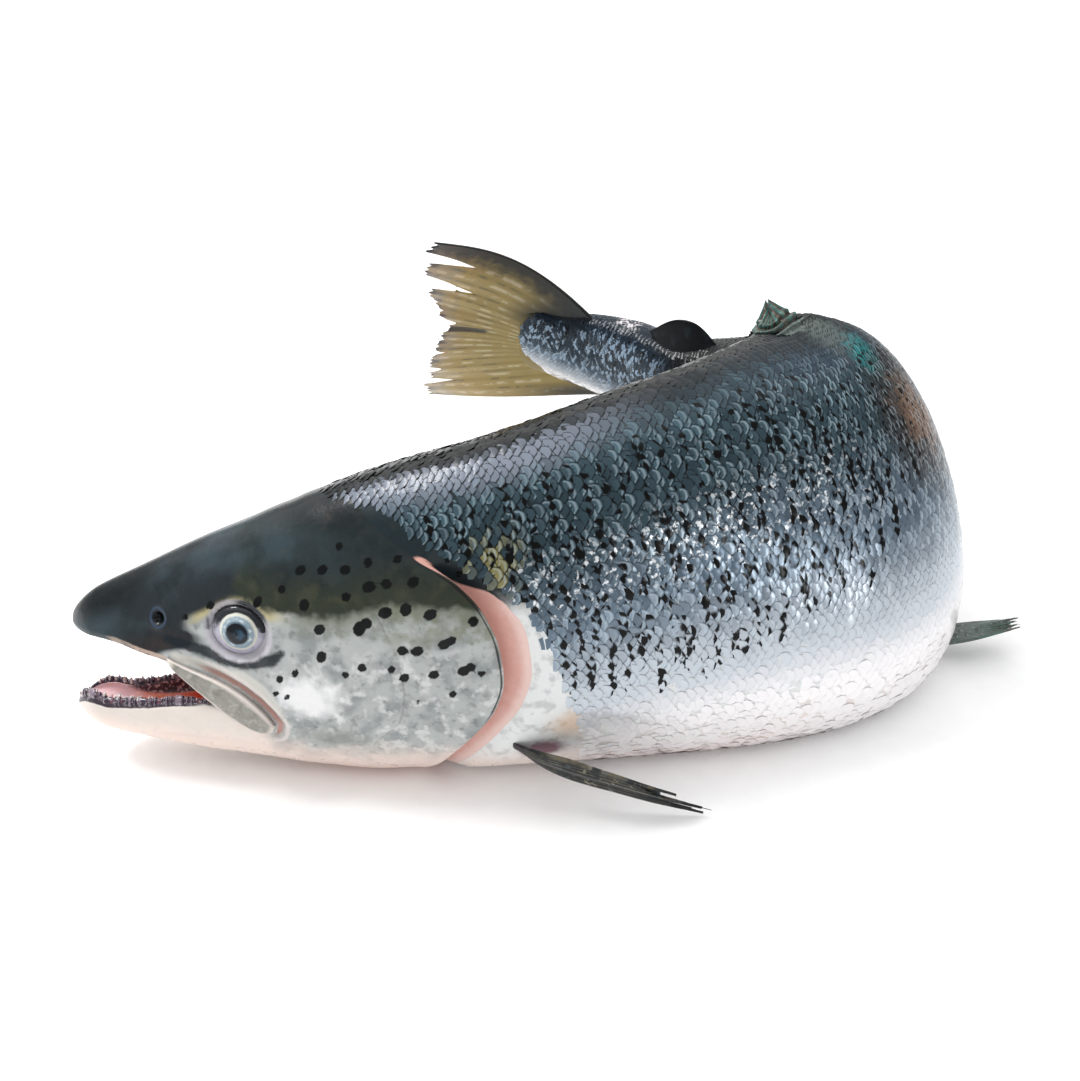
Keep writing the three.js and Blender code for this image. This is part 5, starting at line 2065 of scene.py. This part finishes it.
@dataclass
class Fin(SubAssembly):
    """A thin torn web round a middle surface, with bony rays that stand out of it.

    A place on the fin has u across it, from -1 to 1, and v from root (0) to tip (1).
    """

    name: str
    slot: str
    web: Finish
    ray: Finish
    rays: int = 16
    rows: int = 40
    columns: int = 120
    thick: float = 3.0
    edge: float = 0.35
    ray_radius: float = 0.4
    ray_sides: int = 5
    ragged: float = 0.06
    hair: float = 0.04
    tears: tuple[tuple[float, float, float], ...] = ()
    split: tuple[float, float] = (0.45, 0.75)
    branch_points: int = 9
    branch_lap: float = 0.02
    table_gap: float = 0.15
    seed: int = 0

    @abstractmethod
    def place(self, u: Array, v: Array) -> Array:
        """Middle surface of the fin, in millimetres on the table."""

    def torn(self, u: Array) -> Array:
        """How far the web reaches at u, as a share of the whole fin.

        Args:
            u: Places across.

        Returns:
            Shares from root to tip.
        """
        chance = np.random.default_rng(SEED + 40 + self.seed)
        spots = np.linspace(-1.05, 1.05, self.rays * 2 + 1)
        cut = chance.uniform(0, 1, len(spots)) ** 1.6
        reach = 1 - self.ragged * np.interp(u, spots, cut)
        reach = reach - 0.35 * self.ragged * np.abs(np.sin(u * self.rays * 3.3))
        for middle, depth, width in self.tears:
            reach = reach - depth * np.maximum(0, 1 - np.abs(u - middle) / width)
        return reach

    def lines(self) -> list[tuple[Array, Array, Array]]:
        """Branching rays as lists of u, v and radius share.

        Returns:
            One entry for each line.
        """
        chance = np.random.default_rng(SEED + 60 + self.seed)
        found = []
        gap = 2 / self.rays
        first, second = self.split
        lap = self.branch_lap
        for i in range(self.rays):
            u = -1 + gap * (i + 0.5)
            start = np.linspace(lap, first + lap, self.branch_points)
            found.append((np.full(self.branch_points, u), start, 1 - 0.35 * start))
            for side in (-1, 1):
                near = u + side * gap * 0.04
                far = u + side * gap * 0.24
                v = np.linspace(first, second + lap, self.branch_points - 1)
                t = smooth(v, first, second)
                found.append((near + (far - near) * t, v, 0.78 - 0.3 * t))
                for twig in (-1, 1):
                    start_u = far + twig * gap * 0.03
                    end_u = far + twig * gap * 0.13 + chance.normal(0, 0.02) * gap
                    end = float(self.torn(np.array(end_u))) + self.hair * chance.uniform(-0.6, 1.0)
                    v = np.linspace(second, max(end, second + 0.03), self.branch_points)
                    t = (v - second) / (v[-1] - second)
                    found.append((start_u + (end_u - start_u) * t, v, 0.5 - 0.36 * t))
        return found

    def half(self, u: Array, v: Array) -> Array:
        """Half the thickness of the web.

        Args:
            u: Places across.
            v: Places from root to tip.

        Returns:
            Millimetres.
        """
        swell = (1 - np.minimum(v, 1)) ** 1.6 * (1 - 0.6 * u * u)
        ribs = 0.08 * np.abs(np.cos(np.pi * self.rays * (u + 1) / 2)) ** 3
        return (self.edge + (self.thick - self.edge) * swell) / 2 + ribs

    def normal(self, u: Array, v: Array) -> Array:
        """Unit normal of the middle surface.

        Args:
            u: Places across.
            v: Places from root to tip.

        Returns:
            One unit vector for each place.
        """
        step = 1e-3
        across = self.place(u + step, v) - self.place(u - step, v)
        along = self.place(u, v + step) - self.place(u, v - step)
        found = np.cross(across, along)
        return found / np.maximum(np.linalg.norm(found, axis=-1, keepdims=True), 1e-12)

    def lifted(self, points: Array) -> Array:
        """Keeps points over the table."""
        return np.concatenate([points[..., :2], np.maximum(points[..., 2:], self.table_gap)], axis=-1)

    def build(self) -> list[Piece]:
        """Makes the web and its rays.

        Returns:
            The web and the rays.
        """
        u = np.linspace(-1, 1, self.columns + 1)[None, :]
        reach = self.torn(u)
        v = np.linspace(0, 1, self.rows + 1)[:, None] * reach
        u = np.broadcast_to(u, v.shape)
        middle, normal = self.place(u, v), self.normal(u, v)
        half = self.half(u, v)[..., None]
        streak = 0.5 + 0.5 * np.cos(np.pi * self.rays * (u + 1)) * np.ones_like(v)
        values = {"reach": v, "across": u, "streak": streak, "fold_line": self.fold_line(u, v)}
        surface = Surface()
        surface.slab(self.lifted(middle + normal * half), self.lifted(middle - normal * half), values)
        web = settle(surface.mesh(f"{self.name}_web"), [self.web.material()], self.slot, self.name)
        return [web, self.make_rays()]

    def fold_line(self, u: Array, v: Array) -> Array:
        """Painted shade along folds of the web, from 0 to 1; none on a plain fin."""
        return np.zeros(np.broadcast(u, v).shape)

    def make_rays(self) -> Piece:
        """Sweeps the rays.

        Returns:
            The rays, in one piece.
        """
        lines = self.lines()
        points = [self.lifted(self.place(u, v)) for u, v, _ in lines]
        starts = np.cumsum([0] + [len(line) for line in points])
        edges = [(i, i + 1) for start, end in zip(starts, starts[1:]) for i in range(start, end - 1)]
        carrier = bpy.data.meshes.new("ray_lines")
        carrier.from_pydata((np.concatenate(points) * MM).tolist(), edges, [])
        across, reach, thick = map(list, zip(*lines))
        carry(carrier, {"thick": thick, "reach": reach, "across": across})
        material = self.ray.material()
        mesh = RaysModel().run(carrier, f"{self.name}_rays", {
            "Sides": self.ray_sides, "Thickness": self.ray_radius * MM, "Finish": material})
        mesh.shade_smooth()
        return settle(mesh, [material], self.slot)


@dataclass
class TailFin(Fin):
    """Forked tail fin with ragged lobes."""

    root_at: float = 672.0
    root_sweep: float = 62.0
    root_low: float = 10.0
    root_high: float = 52.0
    heart_at: float = 650.0
    heart_up: float = 35.0
    spread: float = 41.0
    middle_length: float = 75.0
    corner_extra: float = 40.0
    corner_sharpness: float = 1.4
    bulge: float = 5.0
    wave: float = 3.5
    wave_turns: float = 3.0

    def place(self, u: Array, v: Array) -> Array:
        """Middle surface, which fans out from the root and waves a little.

        Args:
            u: Places across.
            v: Places from root to tip.

        Returns:
            Points in millimetres.
        """
        turn = np.radians(self.spread) * u
        length = self.middle_length + self.corner_extra * np.abs(u) ** self.corner_sharpness
        root_up = self.root_low + (self.root_high - self.root_low) * (u + 1) / 2
        root_at = self.root_at - self.root_sweep * np.abs(u) ** 3
        at = root_at + (self.heart_at + length * np.cos(turn) - root_at) * v
        bulge = self.bulge * np.sign(u) * np.abs(u) ** 3 * np.sin(np.pi * v)
        up = root_up + (self.heart_up + length * np.sin(turn) - root_up) * v + bulge
        ripple = 0.5 * np.sin(u * 23) * v
        return self.form.lay(at, self.wave * np.sin(self.wave_turns * u) * v * v + ripple, up)

    def fold_line(self, u: Array, v: Array) -> Array:
        """Painted shade along a line near the middle of the web; the web itself is not folded."""
        return hump(u, 0.1 - 0.1 * v, 0.05) * smooth(v, 0.35, 0.6)


@dataclass
class BackFin(SubAssembly):
    """Dorsal fin, crumpled into a low heap with a peak."""

    at: float = 347.0
    half_length: float = 14.0
    rear_length: float = 9.0
    height: float = 10.4
    gather: float = 0.94
    peak: float = 0.4
    root: float = 6.0
    thick: float = 27.0
    edge: float = 1.2
    rows: int = 64
    columns: int = 160
    pleats: float = 17.0
    folds: float = 5.5
    tip_rise: float = 1.6

    def build(self) -> list[Piece]:
        """Makes the heap on straight axes over its middle, because the bend would squeeze it.

        Returns:
            The heap, in a list.
        """
        ridge = float(self.form.back(self.at))
        foot = self.form.lay(self.at, 0.0, ridge)
        upward = self.form.lay(self.at, 0.0, ridge + 1) - foot
        sideways = self.form.lay(self.at, 1.0, ridge) - foot
        lengthways = np.cross(sideways, upward)
        v = np.linspace(0, 1, self.rows + 1)[:, None]
        turn = np.linspace(0, 2 * np.pi, self.columns, endpoint=False)[None, :]
        folds = np.sin(2 * np.pi * (v * self.folds + 0.22 * np.sin(2 * turn + 1) + 0.1 * np.sin(5 * turn)))
        pleats = np.sin(self.pleats * turn + 2.5 * np.sin(3 * turn) + 3 * v)
        low, high = smooth(v, 0.72, 0.5) * smooth(v, 0.1, 0.25), smooth(v, 0.3, 0.6) * smooth(v, 1.0, 0.85)
        out = 1 + 0.09 * folds * low + (0.03 + 0.1 * high) * pleats
        long = np.where(np.cos(turn) < 0, self.rear_length, self.half_length)
        reach = np.cos(turn) * long * (1 - self.gather * v) * out
        half = np.sin(turn) * (self.edge + self.thick * (1 - v) ** 1.05) / 2 * out
        rise = (self.height + self.root) * v * (1 - self.peak * np.cos(turn) ** 2 * v) - self.root
        rise = rise + 0.5 * folds * low
        points = foot + reach[..., None] * lengthways + half[..., None] * sideways + rise[..., None] * upward
        # fold_line: painted shade in the troughs of the folds
        values = {"streak": 0.5 + 0.5 * pleats, "reach": v + 0 * turn, "fold_line": (0.5 - 0.5 * folds) * low}
        surface = Surface()
        surface.grid(points, values, closed=True)
        for row in (0, -1):
            tip = points[row].mean(axis=0) - row * self.tip_rise * upward
            surface.fan(points[row], tip, {"reach": float(v[row, 0]), "streak": 0.5})
        return [settle(surface.mesh("dorsal_fin_heap"), [TEAL_FIN.material()], "fin_dark", "dorsal_fin")]


@dataclass
class FleshyFin(Fin):
    """Adipose fin: a low fleshy hump without rays."""

    start: float = 530.0
    end: float = 578.0
    height: float = 11.0
    sweep: float = 6.0
    lean: float = 0.6
    root: float = 3.0

    def place(self, u: Array, v: Array) -> Array:
        """Middle surface.

        Args:
            u: Places along.
            v: Places from root to tip.

        Returns:
            Points in millimetres.
        """
        at = self.start + (self.end - self.start) * (u + 1) / 2
        rise = (self.height * np.maximum(0, 1 - u * u) ** 1.2 + self.root) * v
        return self.form.lay(at + self.sweep * v * (1 + u) / 2, self.lean * rise,
                             self.form.back(at) - self.root + rise)

    def torn(self, u: Array) -> Array:
        """A fleshy fin is whole."""
        return np.ones(np.shape(u))

    def half(self, u: Array, v: Array) -> Array:
        """A rounded thick edge.

        Args:
            u: Places along.
            v: Places from root to tip.

        Returns:
            Millimetres.
        """
        v = np.minimum(v, 1)
        swell = 1.3 * (1 - v) ** 1.5 + 0.5 * np.sqrt(np.maximum(0, 1 - v ** 3))
        return self.edge + self.thick / 2 * swell * np.maximum(0, 1 - u * u) ** 0.4

    def build(self) -> list[Piece]:
        """Makes the hump.

        Returns:
            The hump, in a list.
        """
        u = np.linspace(-0.999, 0.999, self.columns + 1)[None, :]
        v = np.linspace(0, 1, self.rows + 1)[:, None] ** 0.7
        u, v = np.broadcast_arrays(u, v)
        middle, normal = self.place(u, v), self.normal(u, np.minimum(v, 0.97))
        half = self.half(u, v)[..., None]
        surface = Surface()
        surface.slab(middle + normal * half, middle - normal * half, {"reach": v, "across": u})
        return [settle(surface.mesh(f"{self.name}_flesh"), [self.web.material()], self.slot, self.name)]


@dataclass
class RearFin(Fin):
    """Anal fin, swept back over the table."""

    start: float = 522.0
    end: float = 560.0
    length: float = 34.0
    drop: float = 13.0
    rake: float = 0.25
    side: float = 5.0
    root: float = 3.0

    def place(self, u: Array, v: Array) -> Array:
        """Middle surface.

        Args:
            u: Places across.
            v: Places from root to tip.

        Returns:
            Points in millimetres.
        """
        at = self.start + (self.end - self.start) * (u + 1) / 2
        reach = v * (1 - self.rake * u)
        up = self.form.belly(at) + self.root - (self.drop + self.root) * reach
        return self.form.lay(at + self.length * reach, self.side * v, up)


@dataclass
class FoldedPectoral(Fin):
    """Left pectoral fin, folded to a narrow blade that slopes down to the table."""

    from_snout: tuple[tuple[float, float, float], ...] = (
        (165.5, -10.5, 23), (180.5, -18, 21), (197.5, -21.5, 17), (215.5, -23, 11), (235, -24, 5))
    across: tuple[float, float, float] = (0, -0.35, 0.94)
    half_width: float = 6.4
    narrowing: float = 0.4

    def place(self, u: Array, v: Array) -> Array:
        """Middle surface round a curved line.

        Args:
            u: Places across.
            v: Places from root to tip.

        Returns:
            Points in millimetres.
        """
        stops = self.from_snout
        u, v = np.broadcast_arrays(u, v)
        t = np.clip(v, 0, 1)
        line = []
        for axis, start in enumerate((self.form.snout_x, self.form.snout_y, 0)):
            knots = tuple((i / (len(stops) - 1), stop[axis] + start) for i, stop in enumerate(stops))
            over = (v - t) * (stops[-1][axis] - stops[-2][axis]) * (len(stops) - 1)
            line.append(Curve(knots)(t) + over)
        width = self.half_width * (1 - self.narrowing * t * t) * (0.3 + 0.7 * smooth(t, 0, 0.35))
        fold = 0.9 * np.sin(u * 5.5) * smooth(v, 0.05, 0.4) * (1 - 0.6 * t)
        across = np.array(self.across)
        out = np.array([0.0, -0.94, -0.35])
        return np.stack(line, axis=-1) + across * (u * width)[..., None] + out * fold[..., None]

    def half(self, u: Array, v: Array) -> Array:
        """Half the thickness, which runs out towards the root in the skin."""
        return super().half(u, v) * (0.35 + 0.65 * smooth(v, 0, 0.16))


@dataclass
class FlankFin(Fin):
    """Paired fin of the right side, folded back along the flank."""

    start: float = 168.0
    length: float = 74.0
    up: float = 40.0
    drop: float = 14.0
    half_width: float = 6.0
    narrowing: float = 0.7
    solid_thick: float = 3.5
    gap: float = 0.75

    def place(self, u: Array, v: Array) -> Array:
        """Middle surface.

        Args:
            u: Places across.
            v: Places from root to tip.

        Returns:
            Points in millimetres.
        """
        u, v = np.broadcast_arrays(u, v)
        width = self.half_width * (1 - self.narrowing * v * v)
        offset = self.gap + self.solid_thick / 2 + v + 0.5 * np.sin(u * 5) * v
        return self.form.flank(self.start + self.length * v, self.up - self.drop * v + u * width,
                               Hand.RIGHT, offset)


@dataclass
class SpreadPelvic(Fin):
    """Left pelvic fin, which stands out from the belly at the bend."""

    start: float = 362.0
    end: float = 374.0
    side: float = 26.0
    up: float = 4.0
    sweep: float = 10.0
    reach: float = 20.0
    drop: float = 10.0
    narrowing: float = 0.4
    buried: float = 9.0

    def place(self, u: Array, v: Array) -> Array:
        """Middle surface.

        Args:
            u: Places across.
            v: Places from root to tip.

        Returns:
            Points in millimetres.
        """
        at = self.start + (self.end - self.start) * (u + 1) / 2
        middle = (self.start + self.end) / 2
        station = at + (middle - at) * self.narrowing * v + self.sweep * v
        fold = 1.0 * np.sin(u * 5) * smooth(v, 0.1, 0.6)
        inside = self.buried * (1 - v) ** 3
        return self.form.lay(station, self.side - inside + self.reach * v, self.up - self.drop * v + fold)


@dataclass
class Lamp:
    """A soft rectangular light."""

    name: str
    place: tuple[float, float, float]
    target: tuple[float, float, float]
    width: float
    depth: float
    watts: float

    def build(self) -> None:
        """Makes the light and points it."""
        light = bpy.data.lights.new(self.name, "AREA")
        light.shape, light.size, light.size_y, light.energy = "RECTANGLE", self.width, self.depth, self.watts
        thing = shown(light)
        thing.location = self.place
        away = np.array(self.target) - np.array(self.place)
        flat = math.hypot(away[0], away[1])
        thing.rotation_euler = (math.atan2(flat, -away[2]), 0, math.atan2(away[1], away[0]) - math.pi / 2)


@dataclass
class Studio:
    """White floor, soft light and the camera at the angle of the picture."""

    camera_place: tuple[float, float, float] = (-0.02069, -0.37544, 0.2603)
    camera_down: float = 32.55
    lens: float = 30.0
    sensor: float = 36.0
    clip: tuple[float, float] = (0.01, 100.0)
    floor_reach: float = 30.0
    sky: float = 0.56
    sun_strength: float = 2.1
    sun_angle: float = 100.0
    sun_tilt: tuple[float, float] = (-22.0, -8.0)
    lamps: tuple[Lamp, ...] = (
        Lamp("overhead softbox", (-0.75, 0.2, 1.1), (-0.05, -0.1, 0.1), 0.5, 0.3, 11.0),
        Lamp("front fill", (0.9, -1.0, 0.32), (0.0, -0.12, 0.08), 0.2, 0.25, 1.6),
    )

    def build(self) -> None:
        """Makes the floor, the sky, the lights and the camera."""
        scene = bpy.context.scene
        surface = Surface()
        reach = self.floor_reach / MM
        corner = np.linspace(-reach, reach, 2)
        x, y = np.meshgrid(corner, corner, indexing="ij")
        surface.grid(np.stack([x, y, np.zeros_like(x)], axis=-1))
        floor = shown(upwards(surface.mesh("floor", outwards=False)))
        floor.data.materials.append(FLOOR.material())
        world = bpy.data.worlds.new("studio")
        world.use_nodes = True
        sky = world.node_tree.nodes["Background"]
        sky.inputs["Color"].default_value = (1, 1, 1, 1)
        sky.inputs["Strength"].default_value = self.sky
        scene.world = world
        light = bpy.data.lights.new("overhead panel", "SUN")
        light.energy, light.angle = self.sun_strength, math.radians(self.sun_angle)
        shown(light).rotation_euler = (math.radians(self.sun_tilt[0]), math.radians(self.sun_tilt[1]), 0)
        for lamp in self.lamps:
            lamp.build()
        view = bpy.data.cameras.new("camera")
        view.lens, view.sensor_width = self.lens, self.sensor
        view.clip_start, view.clip_end = self.clip
        camera = shown(view)
        camera.location = self.camera_place
        camera.rotation_euler = (math.radians(90 - self.camera_down), 0, 0)
        scene.camera = camera
        scene.view_settings.view_transform = "Standard"


def main() -> None:
    """Builds the fish and the studio."""
    logging.basicConfig(level=logging.INFO, format="%(name)s: %(message)s")
    form = FishForm()
    girth = Girth(form)
    body = Body(form, girth)
    assemblies: list[SubAssembly] = [
        body,
        Scales(form, girth, body),
        Eye(form, girth),
        JawPlate(form, girth),
        Tongue(form, girth, body),
        Teeth(form, girth, body),
        TailFin(form, girth, "tail_fin", "fin_tail", TAIL_WEB, TAIL_RAY, rays=20, rows=60,
                columns=240, thick=5.0, edge=0.5, ray_radius=0.55, ragged=0.07, hair=0.02,
                tears=((0.85, 0.3, 0.05), (0.6, 0.34, 0.07), (0.1, 0.12, 0.06), (-0.35, 0.1, 0.04),
                       (-0.62, 0.14, 0.05), (-0.8, 0.16, 0.04)), seed=1),
        BackFin(form, girth),
        FleshyFin(form, girth, "adipose_fin", "fin_dark", FLESHY_FIN, FLESHY_FIN, rows=20,
                  columns=60, thick=4.4, edge=0.1),
        RearFin(form, girth, "anal_fin", "fin_tail", PALE_FIN, PALE_FIN, rays=12, rows=30,
                columns=96, thick=2.8, edge=0.4, ray_radius=0.4, seed=3),
        FoldedPectoral(form, girth, "pectoral_fin_left", "fin_dark", DARK_FIN,
                       DARK_FIN, rays=12, rows=60, columns=96, thick=3.4, edge=0.8, ray_radius=0.45,
                       ragged=0.26, hair=0.08, tears=((0.75, 0.2, 0.5),), seed=4),
        FlankFin(form, girth, "pectoral_fin_right", "fin_dark", DARK_FIN, DARK_FIN,
                 rays=9, rows=50, columns=72, thick=3.0, edge=0.6, ray_radius=0.5, ragged=0.12, hair=0.04,
                 seed=5),
        SpreadPelvic(form, girth, "pelvic_fin_left", "fin_dark", TEAL_FIN, TEAL_FIN,
                     rays=13, rows=30, columns=96, thick=3.0, edge=0.5, ray_radius=0.36, ragged=0.4,
                     hair=0.14, tears=((0.25, 0.25, 0.12), (-0.5, 0.2, 0.1)), seed=6),
        FlankFin(form, girth, "pelvic_fin_right", "fin_dark", PALE_FIN, PALE_FIN,
                 rays=8, rows=36, columns=64, thick=2.6, edge=0.5, ray_radius=0.4, ragged=0.14, hair=0.05,
                 start=366.0, length=44.0, up=34.0, drop=4.0, narrowing=0.6, seed=7),
    ]
    for assembly in assemblies:
        for piece in assembly.build():
            piece.data.calc_loop_triangles()
            log.info("%s: %d triangles", piece.name, len(piece.data.loop_triangles))
    Studio().build()


if __name__ == "__main__":
    main()
